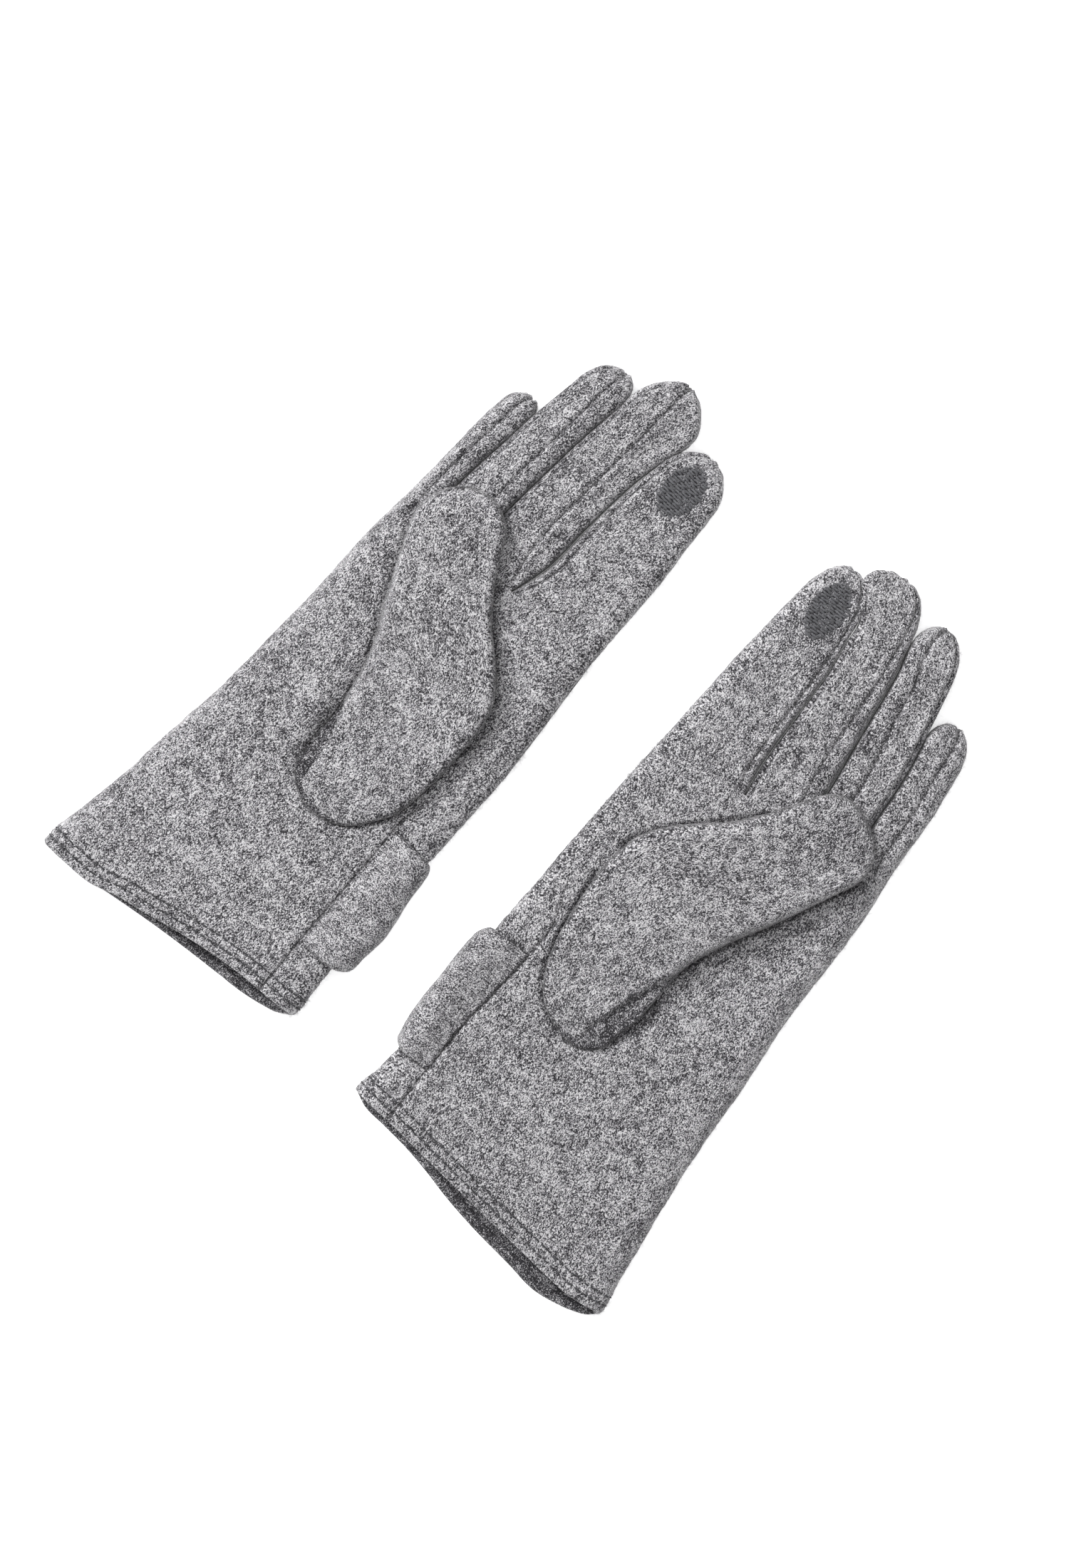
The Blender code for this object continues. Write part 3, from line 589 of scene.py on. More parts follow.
hands = {}
for side in MIRROR:
    glove = HAND[side]
    length = glove["crotch"] - through(glove["palm_hem"], -99.0)
    steps = np.concatenate([HEM_STEPS, np.arange(9.0, length, HAND_STEP), [length]])
    loops, from_hem = hand_loops(side, steps[:, None] / length)
    normal = outward(loops)
    x, y = loops[..., 0], loops[..., 1]
    on_top = loops[..., 2] > HAND_HEIGHT / 2

    seam_away = reach_from(loops, HAND_COLUMNS[0])
    seam_here = ease(y, glove["seam_top"] + 6.0, glove["seam_top"])
    thumb_away = nearest(loops, glove["thumb_seam"])
    crease_start = glove["crease"][0][0]
    crease_here = ease(y, crease_start - 1.0, crease_start + 6.0) * on_top
    by_strap = ease(x - through(glove["seam"], y), 0.0, 1.5) * on_top
    lines = [(seam_away, SIDE_SEAM, seam_here), (thumb_away, THUMB_SEAM, on_top)]
    lines += [(x - through(glove["crease"], y), CREASE, crease_here)]
    lines += [(y - strap_end, STRAP_CREASE_SHADE, by_strap) for strap_end in glove["strap"]]
    lines += [(from_hem - row, HEM_ROW, 1.0) for row in HEM_ROWS]
    for depth, groove in glove["thumb_edges"]:
        shape = (depth, GROOVE_WIDTH, GROOVE_SHADE * depth, GROOVE_WIDTH - 0.1)
        lines.append((nearest(loops, groove), shape, on_top))
    hollow = pressed = np.zeros(x.shape)
    for away, shape, here in lines:
        sinks, darkens = sunk(away, *shape)
        hollow, pressed = hollow + sinks * here, pressed + darkens * here
    pit_depth, pit_width, pit_y, pit_length = glove["pit"]
    pit = bell(x - through(glove["pit_edge"], y), pit_width) * bell(y - pit_y, pit_length) * on_top
    hollow, pressed = hollow + pit_depth * pit, pressed + PIT_SHADE * pit
    hollow = hollow - stripe(seam_away, *SIDE_SWELL) * seam_here
    hollow = hollow - stripe(thumb_away, *THUMB_SWELL) * on_top
    hollow = hollow - HEM_SWELL * (1.0 - ease(from_hem, HEM_DEPTH - 1.0, HEM_DEPTH + 1.2))

    outer = loops + normal * (felt_relief(loops) - hollow)[..., None]
    rest_on_table(outer)
    thick = CLOTH + HEM_TURNING * (1.0 - ease(from_hem, HEM_DEPTH - 1.5, HEM_DEPTH + 0.5))
    rolled = np.sqrt(1.0 - (1.0 - np.clip(from_hem / (thick / 2), 0.0, 1.0)) ** 2)
    inner = outer - normal * (thick * (1.0 + rolled) / 2)[..., None]
    outer = outer - normal * (thick * (1.0 - rolled) / 2)[..., None]
    grain = cloth_places(x, y, loops[..., 2])
    hands[side] = {"outer": outer, "normal": normal, "from_hem": from_hem}
    for name, start, end in (("palm", 0, HAND_COLUMNS[0]), ("back", HAND_COLUMNS[0], sum(HAND_COLUMNS))):
        cut = np.s_[:, start : end + 1]
        cloth = (outer[cut], inner[cut], grain[cut], pressed[cut])
        panel = cut_cloth(side, name, *cloth, GLOVE_WOOL, "glove_cloth")
        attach(panel, f"{side}_hand")
        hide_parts(f"{side}_{name}_panel")


# ---- Fingers ------------------------------------------------------------------------------------
# Each finger is the panels' own cloth, front and back, with a narrow strip called a fourchette let
# in down each side that faces another finger. The seams are sewn inside and show as sunk lines.
# Every finger's pieces carry on from the hand's at its root.
LOW_EDGE, HIGH_EDGE = "low", "high"  # edges that carry on the hand's own
FINGER_GAP = 0.06  # room at each side that faces another finger
FINGER_REACH = 3.2  # how far a free side is rounded inwards past the root
ROOT_REACH = 0.5  # the same where the crotch begins
ROOT_RUN = 4.0  # length over which the rounding grows
INDEX_REACH = 5.7  # how far the index finger's outer edge is rounded inwards
TIP_HEIGHT = 9.6
BACK_SEAM_INSET = 2.6  # from a finger's edge to the seam on its back
EDGE_SEAM_INSET = 1.2  # the same on the palm side, where the seam hides in the gap between fingers
BEND = (-2.5, 8.0)  # where the cloth starts and ends to turn, from the finger's bending line
FINGER_STEP = 0.7
TIP_ROWS = 26
TIP_POWER = 2.3  # how full a tip is, seen from the side
# Each edge and seam is a line of (y, x) points. The tip gives x, y, the length that it is rounded
# over and how pointed it is: 2 is round, less is more pointed.
FINGERS = {
    "right": {
        "little": {
            "low": LOW_EDGE,
            "high": [(48, -33.0), (60, -32.5), (70, -32), (80, -31.2), (90, -30.5), (100, -29.6)],
            "high_seam": [(48, -38), (60, -38), (80, -37), (90, -36.5), (97, -36)],
            "tip": (-34.0, 97.7, 7.5, 2.5),
        },
        "ring": {
            "low": [(48, -33.0), (60, -32.5), (70, -32), (80, -31.2), (95, -30.3), (110, -28.6),
                    (125, -27)],
            "high": [(48, -15.2), (65, -15), (80, -14.5), (100, -13.5), (115, -12.2), (125, -11)],
            "high_seam": [(48, -20.3), (65, -20.6), (80, -20.5), (100, -19.6), (120, -19), (125, -18.6)],
            "tip": (-17.8, 124.7, 11.0, 2.3),
        },
        "middle": {
            "low": [(48, -15.2), (65, -15), (80, -14.5), (100, -13.5), (115, -12.2), (125, -11.4)],
            "high": [(48, 4), (52, 5.2), (60, 7), (80, 7.6), (95, 8.2), (105, 9.2), (114, 11),
                     (122, 13.3), (136, 14)],
            "high_seam": [(48, 3.1), (50, 2.4), (55, 1), (60, 0), (70, -1), (90, -0.6), (120, 0),
                          (136, 0.2)],
            "tip": (0.3, 135.8, 15.0, 1.75),
        },
        "index": {
            "low": [(48, 4), (52, 5.2), (60, 7), (80, 7.6), (95, 8.2), (105, 9.2), (112, 10), (124, 11)],
            "low_seam": [(48, 5.2), (52, 7.2), (60, 9.8), (80, 10), (95, 10.2), (105, 11), (124, 13)],
            "high": HIGH_EDGE,
            "tip": (22.3, 123.9, 12.5, 2.05),
        },
    },
    "left": {
        "little": {
            "low": LOW_EDGE,
            "high": [(51, -30.8), (60, -30.5), (70, -30), (80, -29.8), (90, -29), (100, -27.5),
                     (110, -26)],
            "high_seam": [(51, -39), (60, -39), (70, -39), (80, -38.5), (97, -37), (109, -36.5)],
            "tip": (-34.4, 109.1, 10.5, 2.15),
        },
        "ring": {
            "low": [(51, -30.8), (60, -30.5), (70, -30), (80, -29.8), (90, -29), (100, -27.5),
                    (110, -25.9), (120, -24), (132, -22)],
            "high": [(51, -12.8), (62, -12.5), (70, -12), (80, -11), (90, -10), (100, -9), (110, -8),
                     (120, -6.2), (133, -4.6)],
            "high_seam": [(51, -20), (66, -20), (75, -20), (90, -18), (100, -16), (112, -14.5),
                          (120, -12), (132, -10)],
            "tip": (-13.4, 132.8, 12.0, 2.1),
        },
        "middle": {
            "low": [(51, -12.8), (62, -12.5), (70, -12), (80, -11), (90, -10), (100, -9), (110, -8),
                    (120, -6), (128, -4.2), (138, -3.2)],
            "low_seam": [(51, -9), (62, -7), (68, -6), (80, -5), (95, -4.5), (110, -4), (120, -3),
                         (138, -1)],
            "high": [(51, 9), (60, 10), (80, 10.3), (100, 10.5), (110, 11.5), (119, 12.4), (125, 16),
                     (130, 19.5), (138, 21)],
            "tip": (7.5, 138.3, 13.0, 2.2),
        },
        "index": {
            "low": [(51, 9), (60, 10), (80, 10.3), (100, 10.5), (110, 11.5), (119, 12.2), (131, 13)],
            "low_seam": [(51, 10.6), (55, 12.4), (70, 13.5), (85, 13.1), (115, 13.7), (131, 15.5)],
            "high": HIGH_EDGE,
            "tip": (24.3, 130.9, 13.0, 2.1),
        },
    },
}
# The touch patch on each index finger: its middle, half width and half length.
PATCH = {"right": (21.5, 109.5, 6.6, 9.6), "left": (22.5, 115.0, 6.2, 10.1)}
PATCH_DARK = 1.3  # how much the wool under it is darkened
FINGER_SEAM = (0.75, 0.65, 0.5, 0.45)  # as for the hand's seams
FINGER_SWELL = (0.3, 1.9, 1.2)
CREVICE_SHADE = 0.95  # painted shade in the crevice between two fingers that touch
CREVICE_WIDTH = (0.5, 0.95)  # of that dark line, along the fingers and at the crotch
TOUCHING_WIDTH = 1.6  # how far in from there the felt lies smooth
FRONT_COLUMNS = {"little": 26, "ring": 34, "middle": 44, "index": 56}
STRIP_COLUMNS = 28

# a copy of the wool made 5% darker: painted shade on the fourchette strips
FOURCHETTE_WOOL_SHADED = melange_wool("fourchette_wool_shaded", 0.95)


def closing(gone, power):
    """Width left at a share of the way into a rounded tip, along a superellipse of that power."""
    return np.clip(1.0 - gone**power, 0.0, 1.0) ** (1.0 / power)


def finger_rows(glove, tip_y, rounding, power):
    """y of each row from the crotch to the fingertip, and how far its width and its height have
    closed by there: 1 along the finger, and down to 0 at the tip along a superellipse."""
    start = glove["crotch"]
    along = np.linspace(start, tip_y - rounding, int((tip_y - rounding - start) / FINGER_STEP))
    turn = np.linspace(0.0, math.pi / 2, TIP_ROWS)[1:]
    y = np.concatenate([along, tip_y - rounding + rounding * np.sin(turn)])
    gone = np.concatenate([0.0 * along, np.sin(turn)])
    return y[:, None], closing(gone, power)[:, None], closing(gone, TIP_POWER)[:, None]


def finger_loops(side, finger):
    """A finger's surface before its relief and how many columns each of its four strips has.

    A row is a loop round a flattened tube that rests on the table. Both edges draw in to the tip."""
    glove, shape = HAND[side], FINGERS[side][finger]
    tip_x, tip_y, rounding, power = shape["tip"]
    y, width, height = finger_rows(glove, tip_y, rounding, power)
    free_low, free_high = shape["low"] != LOW_EDGE, shape["high"] != HIGH_EDGE
    low_line = through(shape["low"] if free_low else glove["low"], y) + FINGER_GAP * free_low
    high_line = through(shape["high"] if free_high else glove["high"], y) - FINGER_GAP * free_high
    low, high = (tip_x + (line - tip_x) * width for line in (low_line, high_line))
    grown = 1.0 - np.exp((glove["crotch"] - y) / ROOT_RUN)
    free_reach = ROOT_REACH + (FINGER_REACH - ROOT_REACH) * grown
    reach_low = free_reach if free_low else LOW_REACH[1] + (FINGER_REACH - LOW_REACH[1]) * grown
    reach_high = free_reach if free_high else HIGH_REACH + (INDEX_REACH - HIGH_REACH) * grown
    room = np.minimum(1.0, 0.97 * (high_line - low_line) / (reach_low + reach_high))
    reach_low, reach_high = (reach * room * width + 1e-6 for reach in (reach_low, reach_high))

    def place_of(line):
        """The place round the loop, on its upper side, of a line of x along the finger."""
        return place_at(low, high, reach_low, reach_high, tip_x + (line - tip_x) * width + 1e-9)

    seams = {"low": 0.0 * y, "high": 1.0 + 0.0 * y}
    backs = dict(seams)
    if free_low:
        seam = through(shape["low_seam"], y) if "low_seam" in shape else low_line + EDGE_SEAM_INSET
        seams["low"], backs["low"] = place_of(seam), place_of(low_line + BACK_SEAM_INSET)
    if free_high:
        seam = through(shape["high_seam"], y) if "high_seam" in shape else high_line - EDGE_SEAM_INSET
        seams["high"], backs["high"] = place_of(seam), place_of(high_line - BACK_SEAM_INSET)
    anchors = [-backs["low"], seams["low"], seams["high"], 2.0 - backs["high"], 2.0 - backs["low"]]
    front = FRONT_COLUMNS[finger]
    counts = [STRIP_COLUMNS if free_low else 0, front, STRIP_COLUMNS if free_high else 0, front]
    x, share = around(low, high, reach_low, reach_high, between(anchors, counts))
    along = (y - glove["crotch"]) / (tip_y - glove["crotch"])
    half_height = (HAND_HEIGHT + (TIP_HEIGHT - HAND_HEIGHT) * along) / 2
    z = half_height * (1.0 + share * height)
    loops = np.stack(np.broadcast_arrays(x, y, z), axis=-1)
    loops[-1] = (tip_x, tip_y, half_height[-1, 0])
    return loops, counts


fingers = {}
for side in MIRROR:
    _, _, y_axis = glove_axes(side)
    crotch_y = HAND[side]["crotch"]
    for finger in FINGERS[side]:
        loops, counts = finger_loops(side, finger)
        x, y, z = np.moveaxis(loops, -1, 0)
        normal = outward(loops)
        normal[-1] = (0.0, 1.0, 0.0)
        ends = np.concatenate([[0], np.cumsum(counts)])
        hollow = pressed = np.zeros(x.shape)
        for number in (0, 1, 2, 3):
            seam_is_real = counts[0] if number < 2 else counts[2]
            if seam_is_real:
                away = reach_from(loops, ends[number])
                sinks, darkens = sunk(away, *FINGER_SEAM)
                hollow, pressed = hollow + sinks - stripe(away, *FINGER_SWELL), pressed + darkens
        _, tip_y, rounding, _ = FINGERS[side][finger]["tip"]
        beside_another = ease(y, tip_y - rounding + 2.0, tip_y - rounding - 8.0)
        narrow, wide = CREVICE_WIDTH
        crevice = narrow + (wide - narrow) * ease(y, crotch_y + 40.0, crotch_y + 6.0)
        touching = 0.0
        for edge, is_free in ((x.min(axis=1), counts[0]), (x.max(axis=1), counts[2])):
            if is_free:
                from_edge = x - edge[:, None]
                # painted shade in the crevice beside a touching finger
                pressed = pressed + CREVICE_SHADE * bell(from_edge, crevice) * beside_another
                touching = touching + bell(from_edge, TOUCHING_WIDTH) * beside_another
        if finger == "index":
            patch_x, patch_y, half_wide, half_long = PATCH[side]
            radius = np.hypot((x - patch_x) / half_wide, (y - patch_y) / half_long)
            under_yarn = (1.0 - ease(radius, 0.88, 1.0)) * (z > HAND_HEIGHT / 2)
            pressed = pressed + PATCH_DARK * under_yarn
        past_crotch = ease(y, crotch_y, crotch_y + 3.0)
        relief = felt_relief(loops) * (1.0 - 0.95 * np.minimum(touching, 1.0))
        outer = loops + normal * (relief - hollow * past_crotch)[..., None]
        rest_on_table(outer)
        outer[-1] = outer[-1].mean(axis=0)
        inner = outer - normal * CLOTH
        inner[-1] = inner[-1].mean(axis=0)
        grain = cloth_places(x, y, z)
        line = np.array(JOINTS[f"{side}_{finger}_bend"]["pos_m"])
        bend = {"start": line + BEND[0] * MM * y_axis, "end": line + BEND[1] * MM * y_axis}
        fingers[side, finger] = {"outer": outer, "normal": normal, "bend": bend}
        labels = ("outer_fourchette", "palm_side", "inner_fourchette", "back_side")
        nodes = ("fourchette_outer", "front", "fourchette_inner", "back")
        for number, (label, node) in enumerate(zip(labels, nodes)):
            if not counts[number]:
                continue
            cut = np.s_[:, ends[number] : ends[number + 1] + 1]
            cloth = (outer[cut], inner[cut], grain[cut], pressed[cut])
            strip = "fourchette" in label
            wool, slot = (FOURCHETTE_WOOL_SHADED, "fourchette_cloth") if strip else (GLOVE_WOOL, "glove_cloth")
            piece = cut_cloth(side, f"{finger}_{label}", *cloth, wool, slot, poles=(-1,))
            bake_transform(piece)
            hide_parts(f"{side}_{finger}_{node}")


# ---- Thumbs -------------------------------------------------------------------------------------
# The thumb is a flat pouch of its own cloth, let into an oval hole in the palm and folded across
# it. Its little-finger side is turned under at the root, which leaves a tuck in its shadow.
THUMB = {
    "right": {
        # along the pouch: middle x, middle y, lean in degrees, half width
        "spine": [(0, 6.0, -47.8, 0, 11.5), (8, 6.4, -40, 0, 14.6), (18, 8.5, -30, 0, 18),
                  (28, 8.8, -20, 0, 19.3), (40.5, 8.3, -7.6, 6, 20.4), (58.3, 4.9, 9.8, 18, 21.8),
                  (81.7, -9.5, 28.3, 32, 17.4), (97, -17.6, 41.5, 31, 15.9), (121, -28.3, 63.0, 29, 15.4)],
        "tip": (15.0, 2.0),
        "tuck": [(-46, -1.0), (-40, -3.0), (-33, -3.8), (-26, -5.2), (-18, -8.2), (-11, -11.2)],
        "tuck_fade": (-9.0, -16.0),
    },
    "left": {
        "spine": [(0, 7.2, -46.7, 0, 11.5), (8.7, 10.7, -38, 0, 13.9), (18.7, 11.5, -28, 0, 17.6),
                  (29.7, 12.1, -17, 0, 19.1), (42, 12.2, -4.8, 5, 20.3), (58.8, 8.5, 11.6, 17, 22.3),
                  (89, -10.2, 35.3, 32, 17.4), (105, -18.9, 48.8, 33, 15.9),
                  (125, -29.3, 66.1, 32, 15.4)],
        "tip": (13.5, 2.35),
        "tuck": [(-38, 5.5), (-34, 4.0), (-25, 1.0), (-17, -2.2), (-10, -5.4), (-4, -8.5)],
        "tuck_fade": (-4.0, -12.0),
    },
}
RIM_HEIGHT = [(0, 11.5), (8, 12.1), (28, 12.9), (44, 13.3), (125, 13.4)]  # of the pouch's edge, along it
CROWN = {  # height of its top above that
    "right": [(0, 1.7), (8, 2.7), (28, 4.2), (44, 5.0), (60, 5.6), (97, 5.4), (125, 4.7)],
    "left": [(0, 1.7), (8, 2.7), (28, 4.4), (44, 5.6), (60, 6.6), (97, 6.6), (125, 5.8)],
}
BELLY = 0.3  # depth of its under side below its edge
THUMB_REACH = 3.6
THUMB_ROOT_ROUND = 9.0
THUMB_COLUMNS = 84
THUMB_STEP = 0.65
THUMB_ROOT_ROWS = 16
THUMB_TURN = (-7.0, 7.0)  # where the cloth starts and ends to turn, from the fold line
THUMB_FELT = (0.9, 0.25)  # share of the felt's unevenness on its upper and its under side
THUMB_CUT = (40.0, 0.0, 0.0)  # where in the felt it was cut, so that it isn't uneven as the palm is
THUMB_KNIT = 150.0  # the same for the knit's pattern
# painted shade along the pouch's rim, where it meets the palm: how dark and how wide
RIM_SHADE, RIM_WIDTH = 0.95, 0.8
TUCK_DEPTH = {"right": 4.4, "left": 2.4}
TUCK_WALL = (-2.4, 1.1)  # where the tucked cloth turns down, from the tuck's line
TUCK_START = (-48.0, -36.0)
TUCK_CREASE = (0.6, 1.6, 1.0)  # depth, distance inside the tuck's line and width
TUCK_SHADE = (0.85, 1.4, 1.5)  # the same for its darkness

thumbs = {}
for side in MIRROR:
    shape = THUMB[side]
    spine = np.array(shape["spine"], float)
    length = spine[-1, 0]
    tip_round, tip_power = shape["tip"]
    root_turn = np.linspace(0.0, math.pi / 2, THUMB_ROOT_ROWS)
    tip_turn = np.linspace(0.0, math.pi / 2, TIP_ROWS)
    root_run = THUMB_ROOT_ROUND * (1.0 - np.cos(root_turn))
    middle_run = np.arange(THUMB_ROOT_ROUND, length - tip_round, THUMB_STEP)[1:]
    tip_run = length - tip_round + tip_round * np.sin(tip_turn)
    run = np.concatenate([root_run, middle_run, tip_run])[:, None]
    into_tip = np.clip((run - length + tip_round) / tip_round, 0.0, 1.0)
    into_root = np.clip((THUMB_ROOT_ROUND - run) / THUMB_ROOT_ROUND, 0.0, 1.0)
    root_closing = closing(into_root, 2.0)
    flattening = closing(into_tip, TIP_POWER) * root_closing
    lines = [through(list(zip(spine[:, 0], values)), run) for values in spine[:, 1:].T]
    middle_x, middle_y, lean, full_half = lines
    half = full_half * (closing(into_tip, tip_power) * root_closing)
    reach = np.minimum(THUMB_REACH, 0.95 * half) + 1e-6
    place = between([0.0 * run, 1.0 + 0.0 * run, 2.0 + 0.0 * run], (THUMB_COLUMNS, THUMB_COLUMNS))
    across, share = around(-half - 1e-6, half + 1e-6, reach, reach, place)
    lean = np.radians(lean)
    x = middle_x + across * np.cos(lean)
    y = middle_y + across * np.sin(lean)
    thick = np.where(share > 0, through(CROWN[side], run), BELLY)
    z = through(RIM_HEIGHT, run) + share * thick * flattening
    loops = np.stack([x, y, z], axis=-1)
    normal = outward(loops)
    normal[0], normal[-1] = (0.0, -1.0, 0.0), (0.0, 1.0, 0.0)

    from_tuck = x - through(shape["tuck"], y)
    tuck_here = ease(y, *shape["tuck_fade"]) * ease(y, *TUCK_START) * (share > 0)
    tucked = (1.0 - ease(from_tuck, *TUCK_WALL)) * tuck_here * np.clip(share, 0.0, 1.0)
    at_tip = ((np.abs(across) / full_half) ** tip_power + into_tip**tip_power) ** (1.0 / tip_power)
    at_root = np.hypot(across / full_half, into_root)
    from_rim = full_half * (1.0 - np.maximum(at_tip, at_root))
    hollow = TUCK_DEPTH[side] * tucked + stripe(-from_tuck, *TUCK_CREASE) * tuck_here
    # painted shade round the rim and in the tuck
    pressed = RIM_SHADE * bell(from_rim, RIM_WIDTH) + stripe(-from_tuck, *TUCK_SHADE) * tuck_here
    relief = np.where(share > 0, *THUMB_FELT) * felt_relief(loops + THUMB_CUT)
    outer = loops + normal * relief[..., None]
    outer[..., 2] -= hollow
    inner = outer - normal * CLOTH * np.minimum(1.0, 0.35 * half)[..., None]
    for grid in (outer, inner):
        grid[0], grid[-1] = grid[0].mean(axis=0), grid[-1].mean(axis=0)
    grain = cloth_places(across + THUMB_KNIT, run, z)

    fold_joint = JOINTS[f"{side}_thumb_fold"]
    fold_place = np.array(fold_joint["pos_m"])
    along = np.cross((0.0, 0.0, 1.0), fold_joint["axis"])
    along = along if along[1] > 0 else -along
    start, end = (fold_place + turn * MM * along for turn in THUMB_TURN)
    bend = {"start": start, "end": end}
    thumbs[side] = {"outer": outer, "normal": normal, "bend": bend}
    for label, first, nodes in (("upper", 0, ("front", "root")), ("under", THUMB_COLUMNS, ("back",))):
        cut = np.s_[:, first : first + THUMB_COLUMNS + 1]
        cloth = (outer[cut], inner[cut], grain[cut], pressed[cut])
        piece = cut_cloth(side, f"thumb_{label}_side", *cloth, GLOVE_WOOL, "glove_cloth", poles=(0, -1))
        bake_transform(piece)
        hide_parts(*(f"{side}_thumb_{node}" for node in nodes))


# ---- Wrist straps -------------------------------------------------------------------------------
# A folded strip of the same cloth is caught in the side seam, turns round the index finger's edge
# of the wrist and ends on the back. It stands a little off the glove, and its knit runs across.
STRAP_EDGE = {
    "right": [(-81, 47.4), (-78, 50.6), (-70, 51.6), (-62, 52), (-55, 51), (-48, 49.5), (-40, 48.6),
              (-36, 48), (-33, 46.5)],
    "left": [(-82, 50.5), (-79, 53.2), (-75, 54), (-63, 54.5), (-55, 54), (-42, 53.5), (-35, 52.6),
             (-31, 50.6)],
}
STRAP_CLOTH = 2.5
STRAP_REACH = 8.0
STRAP_SINK = 1.9  # how much lower it lies where the side seam holds it
STRAP_END = -22.0  # where it ends on the back
STRAP_COLUMNS = (44, 40, 60)  # on the palm side, round the edge and on the back
STRAP_ROWS = 70
STRAP_CROWN = 0.5  # how far its middle stands up near the edge
STRAP_FELT = (0.55, 0.0825)  # share of the felt's unevenness on the palm side and on the back
STRAP_CUT = (0.0, 60.0, 0.0)  # where in the felt it was cut
STRAP_KNIT = 30.0
SEWN_SHADE, SEWN_WIDTH = 0.6, 0.5  # painted shade: the dark line where the side seam holds it
FOLD_SHADE, FOLD_SHARE = 0.9, 0.02  # painted shade along its folds, and the folds' share of its width

for side in MIRROR:
    low_y, high_y = HAND[side]["strap"]
    share_across = 0.5 - 0.5 * np.cos(np.linspace(0.0, math.pi, STRAP_ROWS + 1))[:, None]
    y = low_y + (high_y - low_y) * share_across
    seam_x = through(HAND[side]["seam"], y) + 0.5
    edge = through(STRAP_EDGE[side], y)
    turn_x = edge - STRAP_REACH
    front, round_edge = (np.linspace(0.0, 1.0, n, endpoint=False) for n in STRAP_COLUMNS[:2])
    back = np.linspace(0.0, 1.0, STRAP_COLUMNS[2] + 1)
    turn = math.pi * (0.5 - round_edge)
    front_x = seam_x + (turn_x - seam_x) * front
    round_x = turn_x + STRAP_REACH * np.cos(turn) ** EDGE_POWER
    back_x = turn_x + (STRAP_END - turn_x) * back
    x = np.concatenate([front_x, round_x, back_x], axis=1)
    round_height = np.sign(np.sin(turn)) * np.abs(np.sin(turn)) ** EDGE_POWER
    height = np.concatenate([1.0 + 0.0 * front, round_height, -1.0 + 0.0 * back]) + 0.0 * y
    half = STRAP_HEIGHT / 2
    crown = STRAP_CROWN * bell(share_across - 0.5, 0.4) * bell(x - edge, 16.0) * (height > 0)
    sewn_down = STRAP_SINK * (1.0 - ease(x, seam_x, seam_x + 9.0)) * (height > 0)
    z = half + height * (half - 0.1) + crown - sewn_down
    points = np.stack(np.broadcast_arrays(x, y, z), axis=-1)
    along = np.gradient(points, axis=1)
    normal = np.cross(along, np.gradient(points, axis=0))
    normal /= np.linalg.norm(normal, axis=2, keepdims=True)
    folded = (1.0 - np.abs(2.0 * share_across - 1.0) ** 7) ** (1.0 / 3.0)
    thinned = np.minimum(1.0, 4.0 * np.linspace(0.0, 1.0, x.shape[1]) + 0.75)
    thinned = thinned * (1.0 - 0.6 * (x < STRAP_END + 0.4))
    thick = STRAP_CLOTH * np.maximum(0.12, folded) * thinned
    relief = np.where(height < 0, STRAP_FELT[1], STRAP_FELT[0]) * felt_relief(points + STRAP_CUT)
    outer = points + normal * (relief - (STRAP_CLOTH - thick) / 2)[..., None]
    rest_on_table(outer)
    inner = outer - normal * thick[..., None]
    along_strap = np.cumsum(np.linalg.norm(along, axis=2), axis=1)
    grain = np.stack(np.broadcast_arrays(y + STRAP_KNIT, along_strap, 0.0), axis=-1)
    from_fold = np.minimum(share_across, 1.0 - share_across)
    # painted shade where the side seam holds it and along the folds
    pressed = SEWN_SHADE * bell(x - seam_x, SEWN_WIDTH)
    pressed = pressed + FOLD_SHADE * (1.0 - ease(from_fold, 0.0, FOLD_SHARE))
    strap = cut_cloth(side, "strap", outer, inner, grain, pressed, GLOVE_WOOL, "strap_cloth")
    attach(strap, f"{side}_hand")
    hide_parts(f"{side}_wrist_strap")


# ---- Hem stitches -------------------------------------------------------------------------------
# Two rows of dark grey sewing thread hold the turned-in hem all round the cuff. Each stitch is a
# short loop of thread that dives into the felt at both ends.
STITCH_PITCH = 2.7
STITCH_LENGTH = 1.9
STITCH_STEPS = 6
FIRST_STITCH = (0.5, 0.9)  # where each row's first stitch lies, in pitches
THREAD = 0.28  # half the thread's width
THREAD_RISE = 0.22  # height of a stitch's middle over the felt
THREAD_DIVE = 0.6  # how much lower its ends are


def thread_material(name, colour, roughness):
    """Twisted thread: one colour, mottled along its length."""
    material, shader, start = new_material(name, roughness, 0.2)
    place = start.node("ShaderNodeTexCoord", {}, {}, out="Object")
    mottle = place.scaled(900.0, 900.0, 900.0).noise(2.0)
    stops = [(at, tuple(tone * part for part in colour)) for at, tone in ((0.25, 0.6), (0.75, 1.4))]
    tint = start.node("ShaderNodeValToRGB", {"stops": stops}, {"Fac": mottle}, out="Color")
    start.tree.links.new(tint.socket, shader.inputs["Base Color"])
    return material


